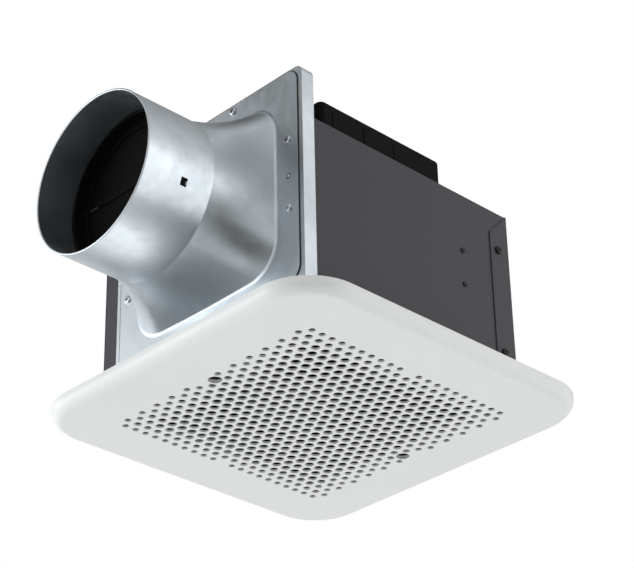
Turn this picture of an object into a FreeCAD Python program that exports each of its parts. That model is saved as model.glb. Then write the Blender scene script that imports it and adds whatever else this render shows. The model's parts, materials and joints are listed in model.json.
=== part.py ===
import FreeCAD, Part
import math
import os

# Bathroom extractor fan for a ceiling void, with a 150 mm side duct.
# Millimetres, +Z up.  The origin is the middle of the ceiling opening, on the ceiling's lower face.
# The duct leaves along -X, the wiring compartment is on the +Y side.

# ---------------------------------------------------------------- clearances and stock
sheet = 1.0               # housing and duct sheet
fit_gap = 0.3             # between pieces that pass each other
press_gap = 0.02          # around seated round pieces
run_gap = 0.05            # radial, shaft in bearing and pin in eye
screw_gap = 0.1           # radial, screw in its hole
over = 1.0                # how far a cutter runs past what it cuts

# ---------------------------------------------------------------- grille
grille_side = 350.0
grille_corner_r = 50.0
grille_depth = 14.0       # ceiling to grille face
grille_edge_r = 9.5
grille_skin = 1.8
hole_pitch = 11.25
hole_rows = 25
hole_columns = 21
ring_hole_r = (3.1, 3.5, 4.0)   # the three outermost rings of holes
field_hole_r = 4.35
access_hole_r = 6.2
access_sleeve_wall = 1.5
access_sleeve_height = 2.0
rib_half_x = 124.5         # screen rib between the holes and the rim
rib_half_y = 128.5
rib_wall = 1.8
rib_corner_r = 12.0

# ---------------------------------------------------------------- housing
housing_front = -120.0
housing_rear = 120.0
housing_near = -132.0     # plain side, -Y
housing_far = 141.0       # wiring side, +Y
housing_top = 180.0
flange_reach = 160.0
flange_relief = 1.5       # open slit between a flange and the rear flap
ceiling_hole_x = 100.0
ceiling_hole_y = 150.0
ceiling_hole_r = 2.5
flap_width = 23.6
flap_screw_x = 106.0
flap_screw_z = (36.6, 140.0)
casing_rivet_x = 59.5
casing_rivet_z = (88.0, 122.0)
casing_bracket_half = 11.0
casing_bracket_foot = 14.0

# ---------------------------------------------------------------- scroll and impeller
rotor_x = 12.0
rotor_y = 5.0
impeller_r = 78.0
blade_depth = 13.5
blade_count = 38
blade_sheet = 0.9
blade_sag = 3.8           # how hollow a blade is
blade_lean = 6.0          # how far its tip trails its root
blade_inset = 0.4         # from the rings' edges
impeller_bottom = 69.0
impeller_height = 88.0
impeller_ring = 2.0
hub_r = 11.0
hub_height = 20.0
nut_r = 7.5
nut_height = 5.0
spiral_start_r = 86.0
spiral_end_r = 102.0
spiral_steps = 24
tongue_rise = 67.0        # upper outlet wall above the rotor axis, along Y
scroll_floor = 58.0
scroll_height = 108.0
sleeve_lap = 4.0          # outlet sleeve's floor and roof, inside the housing
orifice_sheet = 2.0
throat_r = 60.0
bell_r = 9.0
bell_wall = 1.5
bell_land = 0.5

# ---------------------------------------------------------------- front frame and duct adaptor
frame_depth = 13.4        # housing front to the frame's face
frame_far = 107.0
frame_top = 230.0
frame_corner_r = 8.0
adaptor_inset = 5.7
adaptor_foot = 24.0
adaptor_drop = 1.5        # its top below the frame's
adaptor_corner_r = 12.0
duct_y = -12.0
duct_z = 124.0
duct_r = 73.5
duct_wall = 1.2
duct_length = 69.5
cone_length = 55.6
cone_half_y = 88.0
cone_half_z = 83.5
cone_corner_r = 32.0
cone_fillet = 8.0
adaptor_screw_z = (92.5, 159.4)
adaptor_screw_off = 103.0
top_screw_off = 35.0
top_screw_z = 222.5
pip_r = 1.6
pip_drop = 2.0            # below the middle of the side screws
lance_x = 28.4            # slot centre from the cone's small end
lance_angle = 200.4       # first stop round the collar, degrees from +Y towards +Z
lance_count = 3
lance_long = 6.4
lance_wide = 7.2
lance_tab_wide = 3.6
lance_tab_reach = 1.2      # tab's end inside the bore
lance_tab_drop = 0.36      # tab's top under the collar's surface

# ---------------------------------------------------------------- damper
damper_x = -213.0
damper_rise = 6.0         # pivot above the duct axis, so that the flap falls shut
damper_pin_r = 1.5
flap_sheet = 1.4
flap_gap = 1.0
flap_barrel_r = 3.2
flap_barrel_half = 46.0
flap_rib_inset = 9.0
flap_rib_wall = 1.4
flap_rib_height = 2.0
gasket_inset = 0.5
gasket_wide = 4.0
gasket_thick = 1.6
pin_inset = 0.2           # pin ends below the damper frame's surface
damper_frame_lead = 9.5   # frame's face in front of the pin
damper_frame_long = 20.5
damper_frame_wall = 3.0
damper_frame_gap = 0.1    # radial, to the collar
damper_seat_lip = 5.0     # under the pin, behind the foam
damper_seat_thick = 2.0

# ---------------------------------------------------------------- motor
motor_r = 38.0
motor_wall = 1.5
motor_plate_sheet = 1.5
motor_lug_r = 48.0
motor_screw_ring = 43.0
motor_screw_turns = (30, 150, 270)
motor_hole_gap = 2.0
motor_height = 44.0
motor_split = 22.0
shaft_r = 4.0
shaft_hole_r = 14.0
shaft_tail = 6.0          # shaft below the hub
shaft_run_gap = 1.0       # radial, in the motor's floor
bearing_r = 9.5
bearing_width = 6.0
bearing_boss_wall = 1.8
stator_inner_r = 22.0
stator_height = 16.0
winding_height = 4.5
winding_gap = 3.0
air_gap = 0.5

# ---------------------------------------------------------------- top cover
cover_x = (-97.0, 53.0)
cover_y = (-117.0, 75.0)
cover_height = 38.0
cover_wall = 1.5
cover_corner_r = 6.0
cover_tab = 14.0
cover_tab_wide = 22.0
cover_screw_inset = 30.0
cover_screw_y = 0.0
notch_x = (-83.0, -45.0, -8.0)
notch_half = 0.8
notch_deep = 0.7
notch_foot = 6.0
notch_drop = 8.0

# ---------------------------------------------------------------- wiring compartment
bush_x = 60.0
bush_z = 128.0
bush_bore_r = 6.5
bush_wall = 3.0
bush_lip = 3.0
bush_rim = 2.5
bush_nut = 3.0
bush_inside = 7.0
terminal_long = 48.0
terminal_deep = 18.0
terminal_high = 16.0
terminal_x = -8.0
terminal_z = 120.0
terminal_ways = 4
terminal_groove_half = 0.6
terminal_groove_deep = 5.0
terminal_pocket = 3.0
terminal_hole_deep = 8.0
terminal_screw_long = 4.0
capacitor_r = 12.0
capacitor_long = 46.0
capacitor_x = -72.0
capacitor_rise = 8.0
tag_off = 5.0
tag_half_sheet = 0.4
tag_half_wide = 3.0
tag_long = 8.0
lead_r = 2.5
lead_bend = 13.0
lead_clearance = 5.0      # from the partition to the lead's bend
grommet_wall = 2.0
grommet_flange = 1.5
grommet_rim = 1.0
wiring_door_x = (-60.0, 60.0)
wiring_screw_inset = 6.0
wiring_hatch_inset = 12.0
wiring_hatch_margin = 5.0
wiring_cover_margin = 2.0
earth_x = 90.0
earth_z = 160.0

# ---------------------------------------------------------------- grille springs
spring_y = 119.5
spring_pin_r = 3.5
spring_wire_r = 0.8
spring_turns = 3
spring_turn_pitch = 1.5
spring_axis_z = 2.0
spring_leg_long = 80.0
spring_leg_angle = 55.0
ear_wall = 2.0
ear_half = 5.0
bracket_sheet = 1.2
bracket_shelf_z = 16.0
bracket_half_x = 44.0
bracket_lip = 3.0
bracket_tab_drop = 12.0
bracket_inner_y = 109.0
bracket_slot_half = 32.0
spring_slot_gap = 1.0     # more room beside the legs, in the slot
bracket_rivet_x = 38.0
rivet_r = 2.0
small_rivet_r = 1.4
rivet_brim = 1.1          # radial, head round shank
rivet_head = 1.2
rivet_core_r = 0.8        # hollow left by the mandrel
rivet_core_deep = 1.6

# ---------------------------------------------------------------- fasteners
screw_r = 1.9
screw_head_r = 3.8
screw_head = 2.2
screw_dome = 0.55         # share of the head's height that is rounded
screw_long = 7.0
recess_long = 4.4
recess_wide = 0.9
recess_deep = 1.3


def vec(x, y, z):
    """A point or direction."""
    return FreeCAD.Vector(x, y, z)


# ---------------------------------------------------------------- places worked out from the values above
X = vec(1, 0, 0)
Y = vec(0, 1, 0)
Z = vec(0, 0, 1)
row_step = hole_pitch * math.sqrt(3) / 2
frame_face = housing_front - frame_depth
adaptor_face = frame_face - sheet
cone_end = adaptor_face - cone_length
mouth_x = cone_end - duct_length
duct_bore_r = duct_r - duct_wall
outlet_low = rotor_y - spiral_end_r
outlet_high = rotor_y + tongue_rise
scroll_top = scroll_floor + scroll_height
motor_floor = scroll_top + motor_plate_sheet
motor_top = motor_floor + motor_height
inner_near = housing_near + sheet
inner_far = housing_far - sheet
inner_top = housing_top - sheet
partition_y = frame_far
spring_half = (spring_turns - 1) * spring_turn_pitch / 2 + spring_wire_r
leg_offset = spring_half + fit_gap + spring_wire_r
ear_start = leg_offset + spring_wire_r + fit_gap
spring_coil_r = spring_pin_r + fit_gap + spring_wire_r
slot_half_y = leg_offset + spring_wire_r + 3 * fit_gap + spring_slot_gap
spring_hook = spring_y - leg_offset - bracket_inner_y - bracket_sheet - fit_gap
damper_z = duct_z + damper_rise
bracket_rivet_z = bracket_shelf_z - bracket_tab_drop / 2
lance_tab_start = lance_long / 2 - duct_wall
lance_tab_depth = duct_wall + lance_tab_reach
damper_frame_r = duct_bore_r - damper_frame_gap
damper_bore_r = damper_frame_r - damper_frame_wall
flap_r = damper_bore_r - flap_gap
pin_half = math.sqrt(damper_frame_r ** 2 - damper_rise ** 2) - pin_inset
adaptor_low_y = housing_near + adaptor_inset
adaptor_high_y = frame_far - adaptor_inset
adaptor_top = frame_top - adaptor_drop
bearing_low_z = motor_floor + motor_wall
bearing_high_z = motor_top - motor_wall - bearing_width
bearing_seat_r = bearing_r + press_gap
bearing_boss_r = bearing_seat_r + bearing_boss_wall
stator_low = motor_floor + motor_split - stator_height / 2
impeller_top = impeller_bottom + impeller_height
shaft_low = impeller_top - hub_height - shaft_tail
shaft_high = bearing_high_z + bearing_width - fit_gap
nut_low = impeller_top - hub_height - nut_height
wiring_low = scroll_floor
wiring_middle_y = (partition_y + inner_far) / 2
lead_x = rotor_x
lead_z = (motor_floor + inner_top) / 2
lead_turn_y = partition_y + lead_clearance + lead_r
grommet_r = lead_r + grommet_wall
terminal_top = terminal_z + terminal_high / 2
terminal_face = inner_far - terminal_deep
capacitor_z = wiring_low + sheet + capacitor_r + capacitor_rise
earth_seat = vec(earth_x, partition_y + sheet, earth_z)
nodes = {}


def axis_point(z):
    """A point on the rotor's axis."""
    return vec(rotor_x, rotor_y, z)


def block(x0, x1, y0, y1, z0, z1):
    """A box between two limits on each axis."""
    return Part.makeBox(x1 - x0, y1 - y0, z1 - z0, vec(x0, y0, z0))


def rod(start, direction, radius, length):
    """A round bar."""
    return Part.makeCylinder(radius, length, start, direction)


def ring(start, direction, inner, outer, length):
    """A round tube."""
    return rod(start, direction, outer, length).cut(rod(start, direction, inner, length))


def corner_wire(half_a, half_b, radius, place):
    """A rounded rectangle; place(a, b) puts a flat point into space."""
    edges = []
    signs = ((1, 1), (-1, 1), (-1, -1), (1, -1))
    for number, (sa, sb) in enumerate(signs):
        ca = sa * (half_a - radius)
        cb = sb * (half_b - radius)
        start_turn = math.radians(90 * number)
        turns = [start_turn, start_turn + math.pi / 4, start_turn + math.pi / 2]
        points = [place(ca + radius * math.cos(t), cb + radius * math.sin(t)) for t in turns]
        edges.append(Part.Arc(*points).toShape())
        na, nb = signs[(number + 1) % 4]
        end = math.radians(90 * (number + 1))
        following = place(na * (half_a - radius) + radius * math.cos(end),
                          nb * (half_b - radius) + radius * math.sin(end))
        edges.append(Part.makeLine(points[2], following))
    return Part.Wire(edges)


def level_plate(half_x, half_y, radius, z0, z1, middle=(0.0, 0.0)):
    """A level plate with round corners."""
    wire = corner_wire(half_x, half_y, radius, lambda a, b: vec(middle[0] + a, middle[1] + b, z0))
    return Part.Face(wire).extrude(vec(0, 0, z1 - z0))


def upright_plate(y0, y1, z0, z1, radius, x0, x1):
    """A plate across X with round corners."""
    half_y = (y1 - y0) / 2
    half_z = (z1 - z0) / 2
    wire = corner_wire(half_y, half_z, radius, lambda a, b: vec(x0, (y0 + y1) / 2 + a, (z0 + z1) / 2 + b))
    return Part.Face(wire).extrude(vec(x1 - x0, 0, 0))


def fuse(parts):
    """One solid from overlapping ones."""
    return parts[0].multiFuse(parts[1:]).removeSplitter()


def round_edges(solid, radius, chosen):
    """Fillet the edges for which chosen(edge) holds."""
    return solid.makeFillet(radius, [edge for edge in solid.Edges if chosen(edge)])


def lies_at(edge, axis, value):
    """Whether an edge lies in the plane axis = value."""
    low = getattr(edge.BoundBox, axis + "Min")
    high = getattr(edge.BoundBox, axis + "Max")
    return abs(low - value) < 1e-3 and abs(high - value) < 1e-3


def screw(seat, outward, long=screw_long):
    """A pan-head screw whose head stands on a seat point and looks outward."""
    shank = rod(seat, outward * -1, screw_r, long)
    head = rod(seat, outward, screw_head_r, screw_head)
    side = Y if abs(outward.y) < 0.5 else X
    other = outward.cross(side)
    rim = [edge for edge in head.Edges if (edge.CenterOfMass - seat).dot(outward) > screw_head / 2]
    head = head.makeFillet(screw_head * screw_dome, rim)
    body = shank.fuse(head)
    for along, across in ((side, other), (other, side)):
        corner = seat + outward * (screw_head - recess_deep)
        corner = corner - along * (recess_long / 2) - across * (recess_wide / 2)
        wire = Part.makePolygon([corner, corner + along * recess_long,
                                 corner + along * recess_long + across * recess_wide,
                                 corner + across * recess_wide, corner])
        body = body.cut(Part.Face(wire).extrude(outward * (recess_deep + over)))
    return body


def screw_hole(seat, outward):
    """The clearance hole for a screw."""
    return rod(seat + outward * over, outward * -1, screw_r + screw_gap, screw_long + 2 * over)


def rivet(seat, outward, grip, shank_r=rivet_r):
    """A blind rivet: a flat hollow head outside and a formed tail inside the grip."""
    body = rod(seat, outward, shank_r + rivet_brim, rivet_head)
    body = body.fuse(rod(seat, outward * -1, shank_r, grip))
    body = body.fuse(rod(seat - outward * grip, outward * -1, shank_r + rivet_brim, rivet_head))
    core = rod(seat + outward * (rivet_head + over), outward * -1, rivet_core_r, rivet_core_deep + over)
    return body.cut(core)


def rivet_hole(seat, outward, shank_r=rivet_r):
    """The clearance hole for a rivet."""
    return rod(seat + outward * over, outward * -1, shank_r + screw_gap, 3 * sheet + 2 * over)


# ---------------------------------------------------------------- grille
def grille_holes():
    """Hole centres, radii, and the two access holes."""
    holes = []
    access = []
    middle = (hole_rows - 1) // 2
    for row in range(hole_rows):
        odd = row % 2
        count = hole_columns + odd
        y = (row - middle) * row_step
        for column in range(count):
            x = (column - (count - 1) / 2) * hole_pitch
            ring_index = min(row, hole_rows - 1 - row, column, count - 1 - column)
            at_end = column in (0, count - 1)
            over_spring = row in (0, hole_rows - 1) and abs(x) < hole_pitch / 4
            beside_access = (row, column) in ((middle + 1, 0), (middle - 1, count - 1))
            if over_spring or beside_access:
                continue
            if row == middle and at_end:
                access.append((x, y))
                continue
            radius = ring_hole_r[ring_index] if ring_index < len(ring_hole_r) else field_hole_r
            holes.append((x, y, radius))
    return holes, access


def make_grille():
    """Moulded pan with a perforated face, sleeves, ribs and spring pins."""
    half = grille_side / 2
    outer = level_plate(half, half, grille_corner_r, -grille_depth, 0)
    outer = round_edges(outer, grille_edge_r, lambda edge: lies_at(edge, "Z", -grille_depth))
    floor = grille_skin - grille_depth
    inner = level_plate(half - grille_skin, half - grille_skin, grille_corner_r - grille_skin, floor, over)
    inner = round_edges(inner, grille_edge_r - grille_skin, lambda edge: lies_at(edge, "Z", floor))
    pan = outer.cut(inner)
    holes, access = grille_holes()
    round_holes = holes + [(x, y, access_hole_r) for x, y in access]
    cutters = [rod(vec(x, y, -grille_depth - over), Z, r, grille_skin + 2 * over) for x, y, r in round_holes]
    pan = pan.cut(Part.makeCompound(cutters))
    extras = []
    for x, y in access:
        start = vec(x, y, floor - grille_skin / 2)
        height = access_sleeve_height + grille_skin / 2
        extras.append(ring(start, Z, access_hole_r, access_hole_r + access_sleeve_wall, height))
    rib_low = floor - grille_skin / 2
    rib_top = -sheet - fit_gap
    rib_outer = level_plate(rib_half_x, rib_half_y, rib_corner_r, rib_low, rib_top)
    rib_inner = level_plate(rib_half_x - rib_wall, rib_half_y - rib_wall, rib_corner_r - rib_wall,
                            rib_low - over, rib_top + over)
    extras.append(rib_outer.cut(rib_inner))
    for side in (-1, 1):
        for hand in (-1, 1):
            inner_y = side * spring_y + hand * ear_start
            outer_y = side * spring_y + hand * (ear_start + ear_wall)
            low_y, high_y = sorted((inner_y, outer_y))
            extras.append(block(-ear_half, ear_half, low_y, high_y, rib_low, spring_axis_z))
            extras.append(rod(vec(0, low_y, spring_axis_z), Y, ear_half, high_y - low_y))
        reach = ear_start + ear_wall / 2
        extras.append(rod(vec(0, side * spring_y - reach, spring_axis_z), Y, spring_pin_r, 2 * reach))
    return pan.multiFuse(extras)


def make_spring_coil(side):
    """The closed turns of one grille spring."""
    turns = []
    for number in range(spring_turns):
        y = side * spring_y + (number - (spring_turns - 1) / 2) * spring_turn_pitch
        turns.append(Part.makeTorus(spring_coil_r, spring_wire_r, vec(0, y, spring_axis_z), Y))
    return turns[0].multiFuse(turns[1:])


def make_spring_leg(side, hand):
    """One leg of a grille spring: an eye on the pin, a straight wire and a hook."""
    y = side * spring_y + side * hand * leg_offset
    middle = vec(0, y, spring_axis_z)
    turn = math.radians(spring_leg_angle)
    along = vec(hand * math.sin(turn), 0, math.cos(turn))
    eye = Part.makeTorus(spring_coil_r, spring_wire_r, middle, Y)
    wire = rod(middle + along * spring_coil_r, along, spring_wire_r, spring_leg_long - spring_coil_r)
    tip = middle + along * spring_leg_long
    outward = vec(0, side * hand, 0)
    hook = rod(tip, outward, spring_wire_r, spring_hook)
    return eye.multiFuse([wire, Part.makeSphere(spring_wire_r, tip), hook])


def make_spring_bracket(side):
    """Slotted shelf on a side wall that the spring legs pass through."""
    wall = inner_near if side < 0 else inner_far
    inward = -side
    tab_y = sorted((wall, wall + inward * bracket_sheet))
    shelf_y = sorted((wall, side * bracket_inner_y))
    shelf_top = bracket_shelf_z + bracket_sheet
    tab = block(-bracket_half_x, bracket_half_x, tab_y[0], tab_y[1],
                shelf_top - bracket_tab_drop, shelf_top)
    shelf = block(-bracket_half_x, bracket_half_x, shelf_y[0], shelf_y[1], bracket_shelf_z, shelf_top)
    lip_y = sorted((side * bracket_inner_y, side * (bracket_inner_y + bracket_sheet)))
    lip = block(-bracket_half_x, bracket_half_x, lip_y[0], lip_y[1], bracket_shelf_z,
                shelf_top + bracket_lip)
    bracket = fuse([tab, shelf, lip])
    slot = level_plate(bracket_slot_half, slot_half_y, slot_half_y / 2, bracket_shelf_z - over,
                        shelf_top + over,
                       (0, side * spring_y))
    bracket = bracket.cut(slot)
    for seat, outward in bracket_rivet_seats():
        bracket = bracket.cut(rivet_hole(seat, outward))
    return bracket


# ---------------------------------------------------------------- housing
def bracket_rivet_seats():
    """Seats of the rivets that hold both spring brackets."""
    seats = []
    for x in (-bracket_rivet_x, bracket_rivet_x):
        seats.append((vec(x, housing_near, bracket_rivet_z), Y * -1))
        seats.append((vec(x, housing_far, bracket_rivet_z), Y))
    return seats


def casing_rivet_seats():
    """Seats of the two rivets on the plain side."""
    return [(vec(casing_rivet_x, housing_near, z), Y * -1) for z in casing_rivet_z]


def flap_screw_seats():
    """Seats of the rear panel's screws, on both sides."""
    seats = []
    for z in flap_screw_z:
        seats.append((vec(flap_screw_x, housing_near - sheet, z), Y * -1))
        seats.append((vec(flap_screw_x, housing_far + sheet, z), Y))
    return seats


def housing_cutters():
    """Every hole through the housing's front, top and sides."""
    cutters = []
    for x in (-ceiling_hole_x, ceiling_hole_x):
        for y in (-ceiling_hole_y, ceiling_hole_y):
            cutters.append(rod(vec(x, y, -sheet - over), Z, ceiling_hole_r, sheet + 2 * over))
    edge = sheet + fit_gap
    cutters.append(block(housing_front - over, housing_front + sheet + over, outlet_low - edge,
                         outlet_high + edge, scroll_floor - fit_gap, scroll_top + fit_gap))
    cutters.append(rod(axis_point(inner_top - over), Z, motor_r + motor_hole_gap, sheet + 2 * over))
    cutters.append(rod(vec(bush_x, inner_far - over, bush_z), Y, bush_bore_r + bush_wall + press_gap,
                       sheet + 2 * over))
    for seat, outward in flap_screw_seats():
        cutters.append(screw_hole(seat, outward))
    for seat, outward in casing_rivet_seats():
        cutters.append(rivet_hole(seat, outward, small_rivet_r))
    for seat, outward in bracket_rivet_seats():
        cutters.append(rivet_hole(seat, outward))
    for seat in cover_screw_seats():
        cutters.append(screw_hole(seat, Z))
    slit = housing_rear - flap_width - flange_relief
    for wall, reach in ((housing_near, -sheet - flange_relief), (housing_far, sheet + flange_relief)):
        low_y, high_y = sorted((wall, wall + reach))
        cutters.append(block(slit, housing_rear + over, low_y, high_y, -sheet - over, over))
    return Part.makeCompound(cutters)


def make_housing_sheets():
    """Front, top and side sheets of the housing; the sides end in ceiling flanges."""
    rear = housing_rear - sheet - press_gap
    sheets = {}
    sheets["housing_front"] = block(housing_front, housing_front + sheet, inner_near, inner_far,
                                    -sheet, inner_top)
    sheets["housing_top"] = block(housing_front, rear, inner_near, inner_far, inner_top, housing_top)
    near = block(housing_front, rear, housing_near, inner_near, -sheet, housing_top)
    near_flange = block(housing_front, rear, -flange_reach, inner_near, -sheet, 0)
    sheets["side_near"] = fuse([near, near_flange])
    far = block(housing_front, rear, inner_far, housing_far, -sheet, housing_top)
    far_flange = block(housing_front, rear, inner_far, flange_reach, -sheet, 0)
    sheets["side_far"] = fuse([far, far_flange])
    holes = housing_cutters()
    return {name: shape.cut(holes) for name, shape in sheets.items()}


def make_rear_panel():
    """Rear plate with a mitred flap over each side."""
    panel = block(housing_rear - sheet, housing_rear, housing_near - sheet, housing_far + sheet,
                  0, housing_top)
    start = housing_rear - flap_width
    shapes = [panel]
    for y in (housing_near - sheet, housing_far):
        outline = [vec(start, y, 0), vec(housing_rear, y, 0), vec(housing_rear, y, housing_top),
                   vec(start, y, housing_top - flap_width), vec(start, y, 0)]
        shapes.append(Part.Face(Part.makePolygon(outline)).extrude(vec(0, sheet, 0)))
    panel = fuse(shapes)
    for seat, outward in flap_screw_seats():
        panel = panel.cut(screw_hole(seat, outward))
    return panel


def make_casing_bracket():
    """Angle riveted to the plain side that holds the orifice plate down."""
    half = casing_bracket_half
    low = scroll_floor
    upright = block(casing_rivet_x - half, casing_rivet_x + half, inner_near, inner_near + sheet, low,
                    casing_rivet_z[1] + half)
    foot = block(casing_rivet_x - half, casing_rivet_x + half, inner_near, inner_near + casing_bracket_foot,
                 low, low + sheet)
    bracket = fuse([upright, foot])
    for seat, outward in casing_rivet_seats():
        bracket = bracket.cut(rivet_hole(seat, outward, small_rivet_r))
    return bracket


# ---------------------------------------------------------------- scroll
def spiral_edge(extra):
    """Spiral of the scroll wall from the tongue to the outlet, moved out by extra, and its two ends."""
    start_r = spiral_start_r + extra
    rise = tongue_rise + extra
    start = math.pi - math.asin(rise / start_r)
    end = -math.pi / 2
    points = []
    for step in range(spiral_steps + 1):
        share = step / spiral_steps
        turn = start + (end - start) * share
        radius = start_r + (spiral_end_r - spiral_start_r) * share
        points.append(axis_point(scroll_floor) + vec(radius * math.cos(turn), radius * math.sin(turn), 0))
    curve = Part.BSplineCurve()
    curve.interpolate(points)
    return curve.toShape(), points[0], points[-1]


def make_scroll():
    """Spiral wall with a rectangular outlet sleeve."""
    mouth = frame_face + sheet
    inner_edge, inner_tongue, inner_end = spiral_edge(0)
    outer_edge, outer_tongue, outer_end = spiral_edge(sheet)
    low = scroll_floor
    edges = [Part.makeLine(vec(mouth, outlet_high, low), inner_tongue),
             inner_edge,
             Part.makeLine(inner_end, vec(mouth, outlet_low, low)),
             Part.makeLine(vec(mouth, outlet_low, low), vec(mouth, outlet_low - sheet, low)),
             Part.makeLine(vec(mouth, outlet_low - sheet, low), outer_end),
             outer_edge,
             Part.makeLine(outer_tongue, vec(mouth, outlet_high + sheet, low)),
             Part.makeLine(vec(mouth, outlet_high + sheet, low), vec(mouth, outlet_high, low))]
    wire = Part.Wire(Part.__sortEdges__(edges))
    wall = Part.Face(wire).extrude(vec(0, 0, scroll_height))
    inside = housing_front + sleeve_lap
    shapes = [wall]
    for z in (scroll_floor, scroll_top - sheet):
        shapes.append(block(mouth, inside, outlet_low - sheet, outlet_high + sheet, z, z + sheet))
    return fuse(shapes)


def floor_sheet(z0, z1):
    """A level sheet across the housing, from the plain side to the partition."""
    gap = fit_gap
    return block(housing_front + sheet + gap, housing_rear - sheet - gap, inner_near + gap,
                 partition_y - gap, z0, z1)


def make_orifice_plate():
    """Floor of the scroll with a bell mouth that turns up into the impeller."""
    low = scroll_floor - orifice_sheet
    base_r = throat_r + bell_r
    plate = floor_sheet(low, scroll_floor)
    plate = plate.cut(rod(axis_point(low - over), Z, base_r, orifice_sheet + 2 * over))
    top = low + bell_r

    def bend(radius):
        """Quarter turn of the mouth's section, from level to upright."""
        slant = radius * math.sqrt(0.5)
        middle = vec(base_r, 0, top)
        points = (middle - vec(0, 0, radius), middle - vec(slant, 0, slant), middle - vec(radius, 0, 0))
        return Part.Arc(*points)

    outline = [vec(base_r, 0, low + bell_wall), vec(base_r + bell_land, 0, low + bell_wall),
               vec(base_r + bell_land, 0, low), vec(base_r, 0, low)]
    edges = [bend(bell_r).toShape(), bend(bell_r - bell_wall).toShape(),
             Part.makeLine(vec(throat_r, 0, top), vec(throat_r + bell_wall, 0, top))]
    edges += [Part.makeLine(start, end) for start, end in zip(outline, outline[1:])]
    profile = Part.Face(Part.Wire(Part.__sortEdges__(edges)))
    profile.translate(axis_point(0))
    return plate.fuse(profile.revolve(axis_point(0), Z, 360)).removeSplitter()


def make_motor_plate():
    """Roof of the scroll, which carries the motor."""
    plate = floor_sheet(scroll_top, motor_floor)
    plate = plate.cut(rod(axis_point(scroll_top - over), Z, shaft_hole_r, motor_plate_sheet + 2 * over))
    for seat in motor_screw_seats():
        plate = plate.cut(screw_hole(seat, Z))
    return plate


def make_impeller():
    """Forward-curved drum impeller: back disc with its hub, blades and lower ring."""
    inner_r = impeller_r - blade_depth
    disc = rod(axis_point(impeller_top - impeller_ring), Z, impeller_r, impeller_ring)
    hub_low = impeller_top - hub_height
    hub = rod(axis_point(hub_low), Z, hub_r, hub_height)
    bore = rod(axis_point(hub_low - over), Z, shaft_r + press_gap, hub_height + 2 * over)
    disc = fuse([disc, hub]).cut(bore)
    lower = ring(axis_point(impeller_bottom), Z, inner_r, impeller_r, impeller_ring)
    start = vec(inner_r + blade_inset, 0, 0)
    end = vec(impeller_r - blade_inset, -blade_lean, 0)
    middle = (start + end) * 0.5 + vec(0, blade_sag, 0)
    shift = vec(0, blade_sheet, 0)
    edges = [Part.Arc(start, middle, end).toShape(), Part.makeLine(end, end + shift),
             Part.Arc(start + shift, middle + shift, end + shift).toShape(),
             Part.makeLine(start + shift, start)]
    face = Part.Face(Part.Wire(Part.__sortEdges__(edges)))
    face.translate(axis_point(impeller_bottom + impeller_ring))
    blade = face.extrude(vec(0, 0, impeller_height - 2 * impeller_ring))
    blades = []
    for number in range(blade_count):
        copy = blade.copy()
        copy.rotate(axis_point(0), Z, 360.0 * number / blade_count)
        blades.append(copy)
    return {"impeller_disc": disc, "impeller_ring": lower, "impeller_blades": Part.makeCompound(blades)}


# ---------------------------------------------------------------- motor
def motor_screw_seats():
    """Seats of the motor's screws on its lugs."""
    seats = []
    for turn in motor_screw_turns:
        angle = math.radians(turn)
        reach = vec(motor_screw_ring * math.cos(angle), motor_screw_ring * math.sin(angle), 0)
        seats.append(axis_point(motor_floor + motor_wall) + reach)
    return seats


def make_motor_case_lower():
    """Lower motor shell with its mounting flange and bearing seat."""
    cup = ring(axis_point(motor_floor), Z, motor_r - motor_wall, motor_r, motor_split)
    floor = rod(axis_point(motor_floor), Z, motor_lug_r, motor_wall)
    boss = rod(axis_point(motor_floor), Z, bearing_boss_r, motor_wall + bearing_width)
    case = fuse([cup, floor, boss])
    case = case.cut(rod(axis_point(bearing_low_z), Z, bearing_seat_r, bearing_width + over))
    case = case.cut(rod(axis_point(motor_floor - over), Z, shaft_r + shaft_run_gap, motor_wall + 2 * over))
    for seat in motor_screw_seats():
        case = case.cut(screw_hole(seat, Z))
    return case


def make_motor_case_upper():
    """Upper motor shell with its bearing seat."""
    low = motor_floor + motor_split
    cup = ring(axis_point(low), Z, motor_r - motor_wall, motor_r, motor_height - motor_split)
    roof = rod(axis_point(motor_top - motor_wall), Z, motor_r, motor_wall)
    boss = rod(axis_point(bearing_high_z), Z, bearing_boss_r, bearing_width + motor_wall)
    case = fuse([cup, roof, boss])
    return case.cut(rod(axis_point(bearing_high_z - over), Z, bearing_seat_r, bearing_width + over))


def make_windings():
    """Copper end turns above and below the stator core."""
    inner = stator_inner_r + winding_gap
    outer = motor_r - motor_wall - winding_gap
    below = ring(axis_point(stator_low - winding_height), Z, inner, outer, winding_height)
    above = ring(axis_point(stator_low + stator_height), Z, inner, outer, winding_height)
    return Part.makeCompound([below, above])


# ---------------------------------------------------------------- top cover
def cover_screw_seats():
    """Seats of the top cover's screws."""
    seat_z = housing_top + cover_wall
    far = cover_y[1] + cover_tab / 2
    return [vec(cover_x[0] + cover_screw_inset, far, seat_z),
            vec(cover_x[1] - cover_screw_inset, far, seat_z),
            vec(cover_x[0] - cover_tab / 2, cover_screw_y, seat_z)]


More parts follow.
